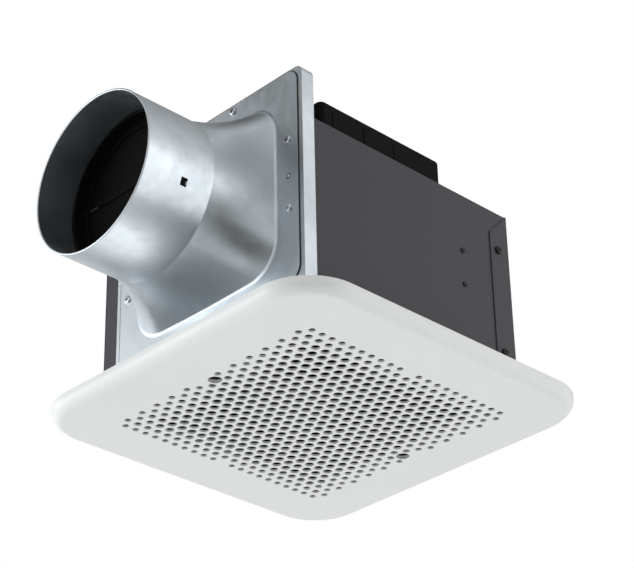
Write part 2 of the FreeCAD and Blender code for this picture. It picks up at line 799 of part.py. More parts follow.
def make_top_cover():
    """Black tray over the motor, with three screw tabs and pressed notches."""
    half_x = (cover_x[1] - cover_x[0]) / 2
    half_y = (cover_y[1] - cover_y[0]) / 2
    middle = ((cover_x[0] + cover_x[1]) / 2, (cover_y[0] + cover_y[1]) / 2)
    top = housing_top + cover_height
    outer = level_plate(half_x, half_y, cover_corner_r, housing_top, top, middle)
    outer = round_edges(outer, cover_corner_r / 2, lambda edge: lies_at(edge, "Z", top))
    inner = level_plate(half_x - cover_wall, half_y - cover_wall, cover_corner_r - cover_wall,
                        housing_top - over, top - cover_wall, middle)
    tray = outer.cut(inner)
    tabs = []
    for seat in cover_screw_seats():
        wide = cover_tab_wide / 2
        if seat.y > cover_y[1]:
            tabs.append(block(seat.x - wide, seat.x + wide, cover_y[1] - cover_wall, cover_y[1] + cover_tab,
                              housing_top, housing_top + cover_wall))
        else:
            tabs.append(block(cover_x[0] - cover_tab, cover_x[0] + cover_wall, seat.y - wide, seat.y + wide,
                              housing_top, housing_top + cover_wall))
    tray = fuse([tray] + tabs)
    for seat in cover_screw_seats():
        tray = tray.cut(screw_hole(seat, Z))
    for x in notch_x:
        tray = tray.cut(block(x - notch_half, x + notch_half, cover_y[0] - over, cover_y[0] + notch_deep,
                              housing_top + notch_foot, top - notch_drop))
    return tray


# ---------------------------------------------------------------- front frame and duct adaptor
def adaptor_screw_seats():
    """Seats of the adaptor's screws."""
    seats = []
    for z in adaptor_screw_z:
        for side in (-1, 1):
            seats.append(vec(adaptor_face, duct_y + side * adaptor_screw_off, z))
    for side in (-1, 1):
        seats.append(vec(adaptor_face, duct_y + side * top_screw_off, top_screw_z))
    return seats


def make_front_frame():
    """Bright pan that stands on the housing's front and carries the adaptor."""
    pan = upright_plate(housing_near, frame_far, -frame_corner_r, frame_top, frame_corner_r,
                        frame_face, housing_front)
    hollow = upright_plate(housing_near + sheet, frame_far - sheet, -frame_corner_r, frame_top - sheet,
                           frame_corner_r - sheet, frame_face + sheet, housing_front + over)
    pan = pan.cut(hollow)
    pan = pan.cut(block(frame_face - over, housing_front + over, housing_near - over, frame_far + over,
                        -2 * frame_corner_r, 0))
    pan = pan.cut(block(frame_face - over, frame_face + sheet + over, outlet_low, outlet_high,
                        scroll_floor + sheet, scroll_top - sheet))
    for seat in adaptor_screw_seats():
        pan = pan.cut(screw_hole(seat, X * -1))
    return pan


def transition(x0, half_y, half_z, corner_r, x1, round_r):
    """Square-to-round form: four flat triangles and four oblique cones, closed at both ends."""
    def base(a, b):
        return vec(x0, duct_y + a, duct_z + b)

    def small(a, b):
        return vec(x1, duct_y + a, duct_z + b)

    faces = []
    base_edges = []
    round_edges_list = []
    flat_y = half_y - corner_r
    flat_z = half_z - corner_r
    root = math.sqrt(0.5)
    for sy, sz in ((1, 1), (-1, 1), (-1, -1), (1, -1)):
        low = Part.Arc(base(sy * half_y, sz * flat_z),
                       base(sy * (flat_y + corner_r * root), sz * (flat_z + corner_r * root)),
                       base(sy * flat_y, sz * half_z)).toShape()
        high = Part.Arc(small(sy * round_r, 0), small(sy * round_r * root, sz * round_r * root),
                        small(0, sz * round_r)).toShape()
        base_edges.append(low)
        round_edges_list.append(high)
        faces.append(Part.makeRuledSurface(low, high))
    for sign in (1, -1):
        a0, a1 = base(sign * half_y, -flat_z), base(sign * half_y, flat_z)
        b0, b1 = base(-flat_y, sign * half_z), base(flat_y, sign * half_z)
        faces.append(Part.Face(Part.makePolygon([a0, a1, small(sign * round_r, 0), a0])))
        faces.append(Part.Face(Part.makePolygon([b0, b1, small(0, sign * round_r), b0])))
        base_edges.append(Part.makeLine(a0, a1))
        base_edges.append(Part.makeLine(b0, b1))
    faces.append(Part.Face(Part.Wire(Part.__sortEdges__(base_edges))))
    faces.append(Part.Face(Part.Wire(Part.__sortEdges__(round_edges_list))))
    shell = Part.makeShell(faces)
    shell.sewShape()
    solid = Part.makeSolid(shell)
    if solid.Volume < 0:
        solid.reverse()
    return solid


def make_adaptor():
    """Flange and square-to-round cone of the duct adaptor, drawn from one sheet."""
    def foot_of_cone(edge, plane):
        """Whether an edge is the cone's foot in that plane, and not the flange's outline."""
        box = edge.BoundBox
        inside_y = box.YMin > adaptor_low_y + over and box.YMax < adaptor_high_y - over
        inside_z = box.ZMin > adaptor_foot + over and box.ZMax < adaptor_top - over
        return lies_at(edge, "X", plane) and inside_y and inside_z

    flange = upright_plate(adaptor_low_y, adaptor_high_y, adaptor_foot, adaptor_top, adaptor_corner_r,
                           adaptor_face, frame_face)
    outer = flange.fuse(transition(adaptor_face, cone_half_y, cone_half_z, cone_corner_r, cone_end, duct_r))
    outer = round_edges(outer, cone_fillet, lambda edge: foot_of_cone(edge, adaptor_face))
    back = block(frame_face, frame_face + 2 * sheet, adaptor_low_y, adaptor_high_y,
                 adaptor_foot, adaptor_top)
    cavity = back.fuse(transition(frame_face, cone_half_y - sheet, cone_half_z - sheet,
                                  cone_corner_r - sheet, cone_end, duct_bore_r))
    cavity = round_edges(cavity, cone_fillet + sheet, lambda edge: foot_of_cone(edge, frame_face))
    shell = outer.cut(cavity)
    for seat in adaptor_screw_seats():
        shell = shell.cut(screw_hole(seat, X * -1))
    pips = []
    pip_z = sum(adaptor_screw_z) / 2 - pip_drop
    behind = upright_plate(adaptor_low_y, adaptor_high_y, adaptor_foot, adaptor_top, adaptor_corner_r,
                           frame_face, frame_face + 2 * pip_r)
    for side in (-1, 1):
        pip = Part.makeSphere(pip_r, vec(adaptor_face, duct_y + side * adaptor_screw_off, pip_z))
        pips.append(pip.cut(behind))
    return shell.multiFuse(pips)


def collar_stops():
    """Outward direction of each lanced stop round the collar."""
    turns = [math.radians(lance_angle + 360.0 * number / lance_count) for number in range(lance_count)]
    return [vec(0, math.cos(turn), math.sin(turn)) for turn in turns]


def across_stop(outward, start_x, long, wide, depth, thick):
    """A block at a lanced stop, from a depth under the collar's surface outward."""
    sideways = X.cross(outward)
    middle = vec(cone_end - lance_x, duct_y, duct_z) + outward * duct_r
    corner = middle + X * start_x - sideways * (wide / 2) - outward * depth
    outline = [corner, corner + X * long, corner + X * long + sideways * wide,
               corner + sideways * wide, corner]
    return Part.Face(Part.makePolygon(outline)).extrude(outward * thick)


def make_collar():
    """Round collar seamed to the cone, with lanced stops that hold the damper's frame."""
    collar = ring(vec(mouth_x, duct_y, duct_z), X, duct_bore_r, duct_r, duct_length)
    for outward in collar_stops():
        collar = collar.cut(across_stop(outward, -lance_long / 2, lance_long, lance_wide,
                                        3 * duct_wall, 5 * duct_wall))
        collar = collar.fuse(across_stop(outward, lance_tab_start, duct_wall, lance_tab_wide,
                                         lance_tab_depth, lance_tab_depth - lance_tab_drop))
    return collar


# ---------------------------------------------------------------- damper
def make_damper_frame():
    """Plastic ring that carries the flap's pin, with a seat for the foam and a pocket for each stop."""
    start = vec(damper_x - damper_frame_lead, duct_y, duct_z)
    frame = ring(start, X, damper_bore_r, damper_frame_r, damper_frame_long)
    seat_x = damper_x + flap_sheet / 2 + gasket_thick + fit_gap
    lip_r = damper_bore_r - damper_seat_lip
    lip = ring(vec(seat_x, duct_y, duct_z), X, lip_r, damper_bore_r + damper_frame_wall / 2, damper_seat_thick)
    above = block(seat_x - over, seat_x + damper_seat_thick + over, duct_y - duct_r, duct_y + duct_r,
                  damper_z - flap_barrel_r - flap_gap, duct_z + duct_r)
    frame = frame.fuse(lip.cut(above))
    frame = frame.cut(rod(vec(damper_x, duct_y - duct_r, damper_z), Y, damper_pin_r + press_gap, 2 * duct_r))
    depth = lance_tab_depth + fit_gap
    for outward in collar_stops():
        frame = frame.cut(across_stop(outward, lance_tab_start - fit_gap, duct_wall + 2 * fit_gap,
                                      lance_tab_wide + 2 * fit_gap, depth, depth))
    return frame


def make_damper_flap():
    """Round flap with a barrel on the damper pin."""
    disc = rod(vec(damper_x - flap_sheet / 2, duct_y, duct_z), X, flap_r, flap_sheet)
    barrel = rod(vec(damper_x, duct_y - flap_barrel_half, damper_z), Y, flap_barrel_r, 2 * flap_barrel_half)
    rib_start = vec(damper_x - flap_sheet / 2 - flap_rib_height, duct_y, duct_z)
    rib_r = flap_r - flap_rib_inset
    rib = ring(rib_start, X, rib_r, rib_r + flap_rib_wall, flap_rib_height + flap_sheet / 2)
    flap = disc.multiFuse([barrel, rib])
    return flap.cut(rod(vec(damper_x, duct_y - 2 * duct_r, damper_z), Y, damper_pin_r + run_gap, 4 * duct_r))


def make_damper_gasket():
    """Foam ring on the fan side of the flap."""
    start = vec(damper_x + flap_sheet / 2, duct_y, duct_z)
    outer = flap_r - gasket_inset
    foam = ring(start, X, outer - gasket_wide, outer, gasket_thick)
    around_barrel = rod(vec(damper_x, duct_y - 2 * duct_r, damper_z), Y, flap_barrel_r + fit_gap, 4 * duct_r)
    return foam.cut(around_barrel)


# ---------------------------------------------------------------- wiring compartment
def wiring_screw_seats():
    """Seats of the wiring cover's screws, which look down."""
    return [vec(x, wiring_middle_y, wiring_low - sheet)
            for x in (wiring_door_x[0] + wiring_screw_inset, wiring_door_x[1] - wiring_screw_inset)]


def make_wiring_box():
    """Partition and floor that close off the wiring side of the housing."""
    front = housing_front + sheet + fit_gap
    rear = housing_rear - sheet - fit_gap
    wall = block(front, rear, partition_y, partition_y + sheet, wiring_low, inner_top - press_gap)
    floor = block(front, rear, partition_y, inner_far - press_gap, wiring_low, wiring_low + sheet)
    box = fuse([wall, floor])
    box = box.cut(block(wiring_door_x[0] + wiring_hatch_inset, wiring_door_x[1] - wiring_hatch_inset,
                        partition_y + wiring_hatch_margin, inner_far - wiring_hatch_margin,
                        wiring_low - over, wiring_low + sheet + over))
    for seat in wiring_screw_seats():
        box = box.cut(screw_hole(seat, Z * -1))
    box = box.cut(screw_hole(earth_seat, Y))
    return box.cut(rod(vec(lead_x, partition_y - over, lead_z), Y, grommet_r + press_gap, sheet + 2 * over))


def make_wiring_cover():
    """Plate under the wiring box."""
    cover = block(wiring_door_x[0], wiring_door_x[1], partition_y + wiring_cover_margin,
                  inner_far - wiring_cover_margin, wiring_low - sheet, wiring_low)
    for seat in wiring_screw_seats():
        cover = cover.cut(screw_hole(seat, Z * -1))
    return cover


def make_lead_grommet():
    """Rubber ring round the motor lead where it crosses the partition."""
    bore = lead_r + press_gap
    near_flange = partition_y - press_gap - grommet_flange
    far_flange = partition_y + sheet + press_gap
    waist_long = far_flange + grommet_flange - near_flange
    waist = ring(vec(lead_x, near_flange, lead_z), Y, bore, grommet_r, waist_long)
    flanges = [ring(vec(lead_x, y, lead_z), Y, bore, grommet_r + grommet_rim, grommet_flange)
               for y in (near_flange, far_flange)]
    return waist.multiFuse(flanges)


def make_motor_lead():
    """Lead from the motor's side through the partition and down to the terminals."""
    start = rotor_y + motor_r + press_gap
    bend_middle = vec(lead_x, lead_turn_y, lead_z - lead_bend)
    level = rod(vec(lead_x, start, lead_z), Y, lead_r, lead_turn_y - start)
    top = vec(lead_x, lead_turn_y, lead_z)
    section = Part.Face(Part.Wire(Part.makeCircle(lead_r, top, Y)))
    bend = section.revolve(bend_middle, X, -90)
    drop_top = vec(lead_x, lead_turn_y + lead_bend, lead_z - lead_bend)
    drop = rod(drop_top, Z * -1, lead_r, drop_top.z - terminal_top - press_gap)
    return level.multiFuse([bend, drop])


def terminal_seats():
    """Seats of the terminal screws, one in each way, which look out of the block."""
    step = terminal_long / terminal_ways
    start = terminal_x - terminal_long / 2 + step / 2
    return [vec(start + number * step, terminal_face + terminal_pocket, terminal_z)
            for number in range(terminal_ways)]


def make_terminal_block():
    """Terminal block on the outer wall of the wiring compartment."""
    half = terminal_long / 2
    body = block(terminal_x - half, terminal_x + half, terminal_face, inner_far - press_gap,
                 terminal_z - terminal_high / 2, terminal_top)
    for number in range(1, terminal_ways):
        x = terminal_x - half + number * terminal_long / terminal_ways
        body = body.cut(block(x - terminal_groove_half, x + terminal_groove_half, terminal_face - over,
                              terminal_face + terminal_groove_deep, terminal_z - terminal_high,
                              terminal_z + terminal_high))
    for seat in terminal_seats():
        mouth = seat - Y * (terminal_pocket + over)
        body = body.cut(rod(mouth, Y, screw_r + screw_gap, terminal_hole_deep + over))
        body = body.cut(rod(mouth, Y, screw_head_r + screw_gap, terminal_pocket + over + press_gap))
    return body


def make_cable_bush():
    """Bush in the outer wall that takes the supply cable."""
    outer = bush_bore_r + bush_wall
    start = vec(bush_x, inner_far - bush_inside, bush_z)
    long = bush_inside + sheet + bush_lip
    body = rod(start, Y, outer, long)
    lip = rod(vec(bush_x, housing_far, bush_z), Y, outer + bush_rim, bush_lip)
    nut = rod(vec(bush_x, inner_far - bush_nut, bush_z), Y, outer + bush_rim, bush_nut)
    body = fuse([body, lip, nut])
    return body.cut(rod(start - Y * over, Y, bush_bore_r, long + 2 * over))


def make_capacitor():
    """Run capacitor with its two tags, lying against the outer wall."""
    middle_y = inner_far - capacitor_r - press_gap
    body = rod(vec(capacitor_x - capacitor_long / 2, middle_y, capacitor_z), X, capacitor_r, capacitor_long)
    end_x = capacitor_x + capacitor_long / 2
    tags = [block(end_x - over, end_x + tag_long, y - tag_half_sheet, y + tag_half_sheet,
                  capacitor_z - tag_half_wide, capacitor_z + tag_half_wide)
            for y in (middle_y - tag_off, middle_y + tag_off)]
    return body.multiFuse(tags)


def make_impeller_nut():
    """Hexagon nut that holds the impeller's hub on the shaft."""
    corners = [axis_point(nut_low) + vec(nut_r * math.cos(math.radians(60 * number)),
                                         nut_r * math.sin(math.radians(60 * number)), 0)
               for number in range(7)]
    nut = Part.Face(Part.makePolygon(corners)).extrude(vec(0, 0, nut_height - press_gap))
    return nut.cut(rod(axis_point(nut_low - over), Z, shaft_r + press_gap, nut_height + 2 * over))


# ---------------------------------------------------------------- all the nodes
nodes.update(make_housing_sheets())
nodes["rear_panel"] = make_rear_panel()
nodes["panel_screws"] = Part.makeCompound([screw(seat, out) for seat, out in flap_screw_seats()])
nodes["side_rivets"] = Part.makeCompound(
    [rivet(seat, out, 2 * sheet, small_rivet_r) for seat, out in casing_rivet_seats()])
nodes["casing_bracket"] = make_casing_bracket()
nodes["front_frame"] = make_front_frame()
nodes["duct_adaptor"] = make_adaptor()
nodes["duct_collar"] = make_collar()
nodes["adaptor_screws"] = Part.makeCompound([screw(seat, X * -1) for seat in adaptor_screw_seats()])
nodes["orifice_plate"] = make_orifice_plate()
nodes["scroll_casing"] = make_scroll()
nodes["motor_plate"] = make_motor_plate()
nodes["motor_case_lower"] = make_motor_case_lower()
nodes["motor_case_upper"] = make_motor_case_upper()
nodes["motor_screws"] = Part.makeCompound([screw(seat, Z) for seat in motor_screw_seats()])
nodes["stator"] = ring(axis_point(stator_low), Z, stator_inner_r, motor_r - motor_wall - press_gap,
                       stator_height)
nodes["stator_windings"] = make_windings()
nodes["bearing_lower"] = ring(axis_point(bearing_low_z), Z, shaft_r + run_gap, bearing_r, bearing_width)
nodes["bearing_upper"] = ring(axis_point(bearing_high_z), Z, shaft_r + run_gap, bearing_r,
                              bearing_width - press_gap)
nodes["motor_shaft"] = rod(axis_point(shaft_low), Z, shaft_r, shaft_high - shaft_low)
nodes["rotor_core"] = ring(axis_point(stator_low), Z, shaft_r + press_gap, stator_inner_r - air_gap,
                           stator_height)
nodes.update(make_impeller())
nodes["top_cover"] = make_top_cover()
nodes["cover_screws"] = Part.makeCompound([screw(seat, Z) for seat in cover_screw_seats()])
nodes["wiring_box"] = make_wiring_box()
nodes["wiring_cover"] = make_wiring_cover()
nodes["wiring_screws"] = Part.makeCompound([screw(seat, Z * -1) for seat in wiring_screw_seats()])
nodes["terminal_block"] = make_terminal_block()
nodes["terminal_screws"] = Part.makeCompound(
    [screw(seat, Y * -1, terminal_screw_long) for seat in terminal_seats()])
nodes["cable_bush"] = make_cable_bush()
nodes["capacitor"] = make_capacitor()
nodes["lead_grommet"] = make_lead_grommet()
nodes["motor_lead"] = make_motor_lead()
nodes["damper_frame"] = make_damper_frame()
nodes["damper_pin"] = rod(vec(damper_x, duct_y - pin_half, damper_z), Y, damper_pin_r, 2 * pin_half)
nodes["damper_flap"] = make_damper_flap()
nodes["damper_gasket"] = make_damper_gasket()
nodes["grille"] = make_grille()
nodes["impeller_nut"] = make_impeller_nut()
nodes["earth_screw"] = screw(earth_seat, Y)
for number, side in enumerate((-1, 1), start=1):
    nodes[f"spring_bracket_{number}"] = make_spring_bracket(side)
    nodes[f"spring_coil_{number}"] = make_spring_coil(side)
    for letter, hand in (("a", 1), ("b", -1)):
        nodes[f"spring_leg_{number}{letter}"] = make_spring_leg(side, hand)
nodes["bracket_rivets"] = Part.makeCompound(
    [rivet(seat, out, sheet + bracket_sheet) for seat, out in bracket_rivet_seats()])

os.makedirs("parts", exist_ok=True)
for name, shape in nodes.items():
    shape.exportStep(f"parts/{name}.step")
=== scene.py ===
"""Bathroom extractor fan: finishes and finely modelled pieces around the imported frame.

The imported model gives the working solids. This file gives them their finishes, and stands finer meshes in
for the pieces whose form shows most: the perforated grille and the sheet duct adaptor.
"""
import json
import logging
import math
from dataclasses import dataclass
from enum import Enum

import bmesh
import bpy
from mathutils import Matrix, Vector


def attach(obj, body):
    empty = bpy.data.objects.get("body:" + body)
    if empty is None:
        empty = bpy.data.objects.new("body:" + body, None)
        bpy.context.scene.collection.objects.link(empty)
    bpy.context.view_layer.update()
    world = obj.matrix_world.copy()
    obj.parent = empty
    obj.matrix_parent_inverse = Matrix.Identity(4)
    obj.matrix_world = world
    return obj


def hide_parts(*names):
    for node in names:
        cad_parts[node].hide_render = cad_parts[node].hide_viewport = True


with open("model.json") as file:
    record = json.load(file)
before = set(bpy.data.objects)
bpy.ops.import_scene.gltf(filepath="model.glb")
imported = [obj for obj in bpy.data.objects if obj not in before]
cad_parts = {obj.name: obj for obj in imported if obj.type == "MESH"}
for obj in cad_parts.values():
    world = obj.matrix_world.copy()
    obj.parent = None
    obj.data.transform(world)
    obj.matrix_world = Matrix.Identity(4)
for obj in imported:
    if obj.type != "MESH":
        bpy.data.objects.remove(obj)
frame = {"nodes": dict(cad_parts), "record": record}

log = logging.getLogger("fan")
MM = 0.001
SAME_POINT = 0.0001
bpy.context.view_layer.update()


# ---------------------------------------------------------------- shader graphs
class Sock:
    """A value in a shader graph, on which Python's operators add Math nodes."""

    def __init__(self, tree: "Tree", link: bpy.types.NodeSocket) -> None:
        """Wraps an output socket.

        Args:
            tree: The node tree that owns the socket.
            link: The output socket.
        """
        self.tree = tree
        self.link = link

    def maths(self, operation: str, *values: "Sock | float") -> "Sock":
        """Adds a Math node on this value and others.

        Args:
            operation: The Math node's operation.
            values: The node's inputs in order, this value among them.

        Returns:
            The node's result.
        """
        return self.tree.add("ShaderNodeMath", {"operation": operation}, dict(enumerate(values)))

    def __add__(self, other: "Sock | float") -> "Sock":
        """Sum."""
        return self.maths("ADD", self, other)

    def __radd__(self, other: float) -> "Sock":
        """Sum with a number on the left."""
        return self.maths("ADD", other, self)

    def __sub__(self, other: "Sock | float") -> "Sock":
        """Difference."""
        return self.maths("SUBTRACT", self, other)

    def __rsub__(self, other: float) -> "Sock":
        """Difference from a number on the left."""
        return self.maths("SUBTRACT", other, self)

    def __mul__(self, other: "Sock | float") -> "Sock":
        """Product."""
        return self.maths("MULTIPLY", self, other)

    def __rmul__(self, other: float) -> "Sock":
        """Product with a number on the left."""
        return self.maths("MULTIPLY", other, self)

    def step(self, low: float, high: float) -> "Sock":
        """Smooth step from 0 to 1 between two values.

        Args:
            low: The value at which the step starts.
            high: The value at which it ends.

        Returns:
            The stepped value.
        """
        inputs = {"Value": self, "From Min": low, "From Max": high}
        return self.tree.add("ShaderNodeMapRange", {"interpolation_type": "SMOOTHSTEP"}, inputs)


class Tree:
    """A node tree, to which one method adds every node."""

    def __init__(self, tree: bpy.types.NodeTree) -> None:
        """Wraps a material's or the world's node tree."""
        self.nodes = tree.nodes
        self.links = tree.links

    def add(self, kind: str, settings: dict | None = None, inputs: dict | None = None,
            output: int | str = 0) -> Sock:
        """Adds a node, sets it up and feeds its sockets.

        Args:
            kind: The node's type.
            settings: The node's properties, which are set first.
            inputs: Socket name or number to a value, a colour or another value of the tree.
            output: The output socket that is returned.

        Returns:
            The chosen output.
        """
        node = self.nodes.new(kind)
        for name, value in (settings or {}).items():
            setattr(node, name, value)
        for name, value in (inputs or {}).items():
            self.feed(node.inputs[name], value)
        return Sock(self, node.outputs[output])

    def feed(self, socket: bpy.types.NodeSocket, value: object) -> None:
        """Links or sets one input socket.

        Args:
            socket: The input.
            value: A value of the tree, a number or a colour.
        """
        if isinstance(value, Sock):
            self.links.new(value.link, socket)
        elif isinstance(value, tuple) and len(value) == 3 and socket.type == "RGBA":
            socket.default_value = (*value, 1.0)
        else:
            socket.default_value = value

    def looked_at(self) -> Sock:
        """Tells the rays that show the background from those that light the object.

        Returns:
            1 for camera, glossy and transmission rays, and 0 for the others.
        """
        camera, glossy, through = (self.add("ShaderNodeLightPath", output=f"Is {ray} Ray")
                                   for ray in ("Camera", "Glossy", "Transmission"))
        return camera.maths("MAXIMUM", camera, glossy.maths("MAXIMUM", glossy, through))


class Graph(Tree):
    """A material's node tree around one Principled shader."""

    def __init__(self, name: str) -> None:
        """Makes an empty node material.

        Args:
            name: The material's name.
        """
        self.material = bpy.data.materials.new(name)
        self.material.use_nodes = True
        super().__init__(self.material.node_tree)
        self.shader = self.nodes["Principled BSDF"]

    def place(self, scale: tuple[float, float, float] = (1, 1, 1)) -> Sock:
        """Object coordinates in metres, stretched by a scale."""
        here = self.add("ShaderNodeTexCoord", output="Object")
        return self.add("ShaderNodeMapping", inputs={"Vector": here, "Scale": scale})

    def noise(self, place: Sock, scale: float, detail: float = 3.0, roughness: float = 0.5) -> Sock:
        """Fractal noise from 0 to 1."""
        inputs = {"Vector": place, "Scale": scale, "Detail": detail, "Roughness": roughness}
        return self.add("ShaderNodeTexNoise", inputs=inputs)

    def cells(self, place: Sock, scale: float, output: str) -> Sock:
        """Small cells, as their colours or as the distance from their middles."""
        inputs = {"Vector": place, "Scale": scale}
        return self.add("ShaderNodeTexVoronoi", {"feature": "F1"}, inputs, output)

    def mix(self, factor: Sock | float, first: object, second: object) -> Sock:
        """Mixes two colours by a factor."""
        settings = {"data_type": "RGBA"}
        return self.add("ShaderNodeMix", settings, {0: factor, 6: first, 7: second}, output=2)

    def bump(self, height: Sock, strength: float, distance: float, under: Sock | None = None) -> Sock:
        """A bumped normal.

        Args:
            height: The height from 0 to 1.
            strength: How much of it shows.
            distance: Its depth in metres.
            under: A normal that it is laid on.

        Returns:
            The normal.
        """
        inputs = {"Height": height, "Strength": strength, "Distance": distance}
        if under is not None:
            inputs["Normal"] = under
        return self.add("ShaderNodeBump", inputs=inputs)

    def close(self, **inputs: object) -> bpy.types.Material:
        """Feeds the Principled shader and returns the material.

        Args:
            inputs: Socket names, with underscores for spaces, to their values.

        Returns:
            The finished material.
        """
        for name, value in inputs.items():
            self.feed(self.shader.inputs[name.replace("_", " ")], value)
        return self.material


# ---------------------------------------------------------------- finishes
@dataclass(frozen=True)
class Moulded:
    """Moulded plastic: a fine spark grain, faint flow clouds and a satin skin."""

    name: str
    colour: tuple[float, float, float]
    cloud: tuple[float, float, float]
    roughness: float = 0.42
    specular: float = 0.5
    cloud_scale: float = 9.0
    speck_scale: float = 420.0
    grain_scale: float = 2400.0
    grain_depth: float = 0.00004

    def material(self) -> bpy.types.Material:
        """Builds the plastic's material.

        Returns:
            The material.
        """
        graph = Graph(self.name)
        place = graph.place()
        clouds = graph.noise(place, self.cloud_scale, 4.0).step(0.35, 0.7)
        fine = graph.noise(place, self.grain_scale, 2.0)
        specks = graph.noise(place, self.speck_scale, 2.0).step(0.66, 0.78)
        colour = graph.mix(clouds * 0.6 + specks * 0.25, self.colour, self.cloud)
        rough = self.roughness + (fine - 0.5) * 0.10 + clouds * 0.05
        normal = graph.bump(fine, 0.35, self.grain_depth)
        return graph.close(Base_Color=colour, Roughness=rough, Normal=normal,
                           Specular_IOR_Level=self.specular)


@dataclass(frozen=True)
class BakedPaint:
    """Baked paint on sheet: orange peel, faint roller clouds and fine dust."""

    name: str
    colour: tuple[float, float, float]
    lighter: tuple[float, float, float]
    roughness: float = 0.40
    specular: float = 0.5
    wave_scale: float = 3.0
    cloud_scale: float = 7.0
    peel_scale: float = 700.0
    dust_scale: float = 1500.0

    def material(self) -> bpy.types.Material:
        """Builds the paint's material.

        Returns:
            The material.
        """
        graph = Graph(self.name)
        place = graph.place()
        clouds = graph.noise(place, self.cloud_scale, 5.0, 0.6).step(0.3, 0.75)
        peel = graph.noise(place, self.peel_scale, 2.0)
        dust = graph.noise(place, self.dust_scale, 1.0).step(0.62, 0.74)
        slow = graph.noise(place, self.wave_scale, 1.0)
        colour = graph.mix(clouds * 0.55 + dust * 0.35, self.colour, self.lighter)
        rough = self.roughness + (peel - 0.5) * 0.12 + clouds * 0.06
        waves = graph.bump(slow, 0.25, 0.002)
        normal = graph.bump(peel, 0.30, 0.00006, waves)
        return graph.close(Base_Color=colour, Roughness=rough, Normal=normal,
                           Specular_IOR_Level=self.specular)


@dataclass(frozen=True)
class ZincSheet:
    """Galvanised sheet: small soft spangle, drawing marks and slow dents."""

    name: str
    colour: tuple[float, float, float]
    darker: tuple[float, float, float]
    roughness: float = 0.34
    wave_scale: float = 5.0
    cloud_scale: float = 14.0
    mark_scale: float = 60.0
    spangle_scale: float = 160.0
    grain_scale: float = 900.0

    def material(self) -> bpy.types.Material:
        """Builds the sheet's material.

        Returns:
            The material.
        """
        graph = Graph(self.name)
        place = graph.place()
        spangle = graph.cells(place, self.spangle_scale, "Color")
        tone = graph.add("ShaderNodeSeparateColor", inputs={0: spangle})
        clouds = graph.noise(place, self.cloud_scale, 4.0, 0.55).step(0.3, 0.72)
        marks = graph.noise(place, self.mark_scale, 3.0)
        slow = graph.noise(place, self.wave_scale, 1.0)
        fine = graph.noise(place, self.grain_scale, 2.0)
        mask = clouds * 0.55 + tone * 0.18 + marks * 0.22
        colour = graph.mix(mask, self.colour, self.darker)
        rough = self.roughness + tone * 0.05 + clouds * 0.08 + (marks - 0.5) * 0.10
        waves = graph.bump(slow, 0.20, 0.0025)
        normal = graph.bump(fine, 0.10, 0.00004, waves)
        return graph.close(Base_Color=colour, Metallic=1.0, Roughness=rough, Normal=normal)


@dataclass(frozen=True)
class TurnedMetal:
    """Plain machined or plated metal with fine tool lines."""

    name: str
    colour: tuple[float, float, float]
    roughness: float = 0.28
    lines: tuple[float, float, float] = (1.0, 1.0, 12.0)
    line_scale: float = 420.0
    cloud_scale: float = 60.0
    worn: float = 0.72

    def material(self) -> bpy.types.Material:
        """Builds the metal's material.

        Returns:
            The material.
        """
        graph = Graph(self.name)
        tooled = graph.noise(graph.place(self.lines), self.line_scale, 3.0)
        clouds = graph.noise(graph.place(), self.cloud_scale, 3.0).step(0.35, 0.7)
        darker = tuple(channel * self.worn for channel in self.colour)
        colour = graph.mix(clouds * 0.5 + tooled * 0.2, self.colour, darker)
        rough = self.roughness + (tooled - 0.5) * 0.16 + clouds * 0.06
        normal = graph.bump(tooled, 0.20, 0.00004)
        return graph.close(Base_Color=colour, Metallic=1.0, Roughness=rough, Normal=normal)


@dataclass(frozen=True)
class Wound:
    """Wound or stacked material that shows as even lines along Z, such as laminations or wire."""

    name: str
    colour: tuple[float, float, float]
    gap: tuple[float, float, float]
    pitch: float
    metallic: float = 0.0
    roughness: float = 0.45
    cloud_scale: float = 45.0

    def material(self) -> bpy.types.Material:
        """Builds the lined material.

        Returns:
            The material.
        """
        graph = Graph(self.name)
        place = graph.place()
        settings = {"wave_type": "BANDS", "bands_direction": "Z"}
        scale = math.pi / (10.0 * self.pitch)
        lines = graph.add("ShaderNodeTexWave", settings, {"Vector": place, "Scale": scale}, "Fac")
        clouds = graph.noise(place, self.cloud_scale, 3.0).step(0.3, 0.75)
        colour = graph.mix(lines * 0.7 + clouds * 0.2, self.gap, self.colour)
        normal = graph.bump(lines, 0.6, 0.0002)
        return graph.close(Base_Color=colour, Metallic=self.metallic, Normal=normal,
                           Roughness=self.roughness + clouds * 0.1)


@dataclass(frozen=True)
class Cellular:
    """Rubber or closed-cell foam."""

    name: str
    colour: tuple[float, float, float]
    lighter: tuple[float, float, float]
    cell_scale: float = 900.0
    cell_depth: float = 0.0002
    bloom_scale: float = 30.0

    def material(self) -> bpy.types.Material:
        """Builds the soft material.

        Returns:
            The material.
        """
        graph = Graph(self.name)
        place = graph.place()
        cells = graph.cells(place, self.cell_scale, "Distance")
        bloom = graph.noise(place, self.bloom_scale, 3.0).step(0.35, 0.75)
        colour = graph.mix(bloom * 0.6 + cells * 0.3, self.colour, self.lighter)
        normal = graph.bump(cells, 0.5, self.cell_depth)
        return graph.close(Base_Color=colour, Roughness=0.75 + bloom * 0.12, Normal=normal)


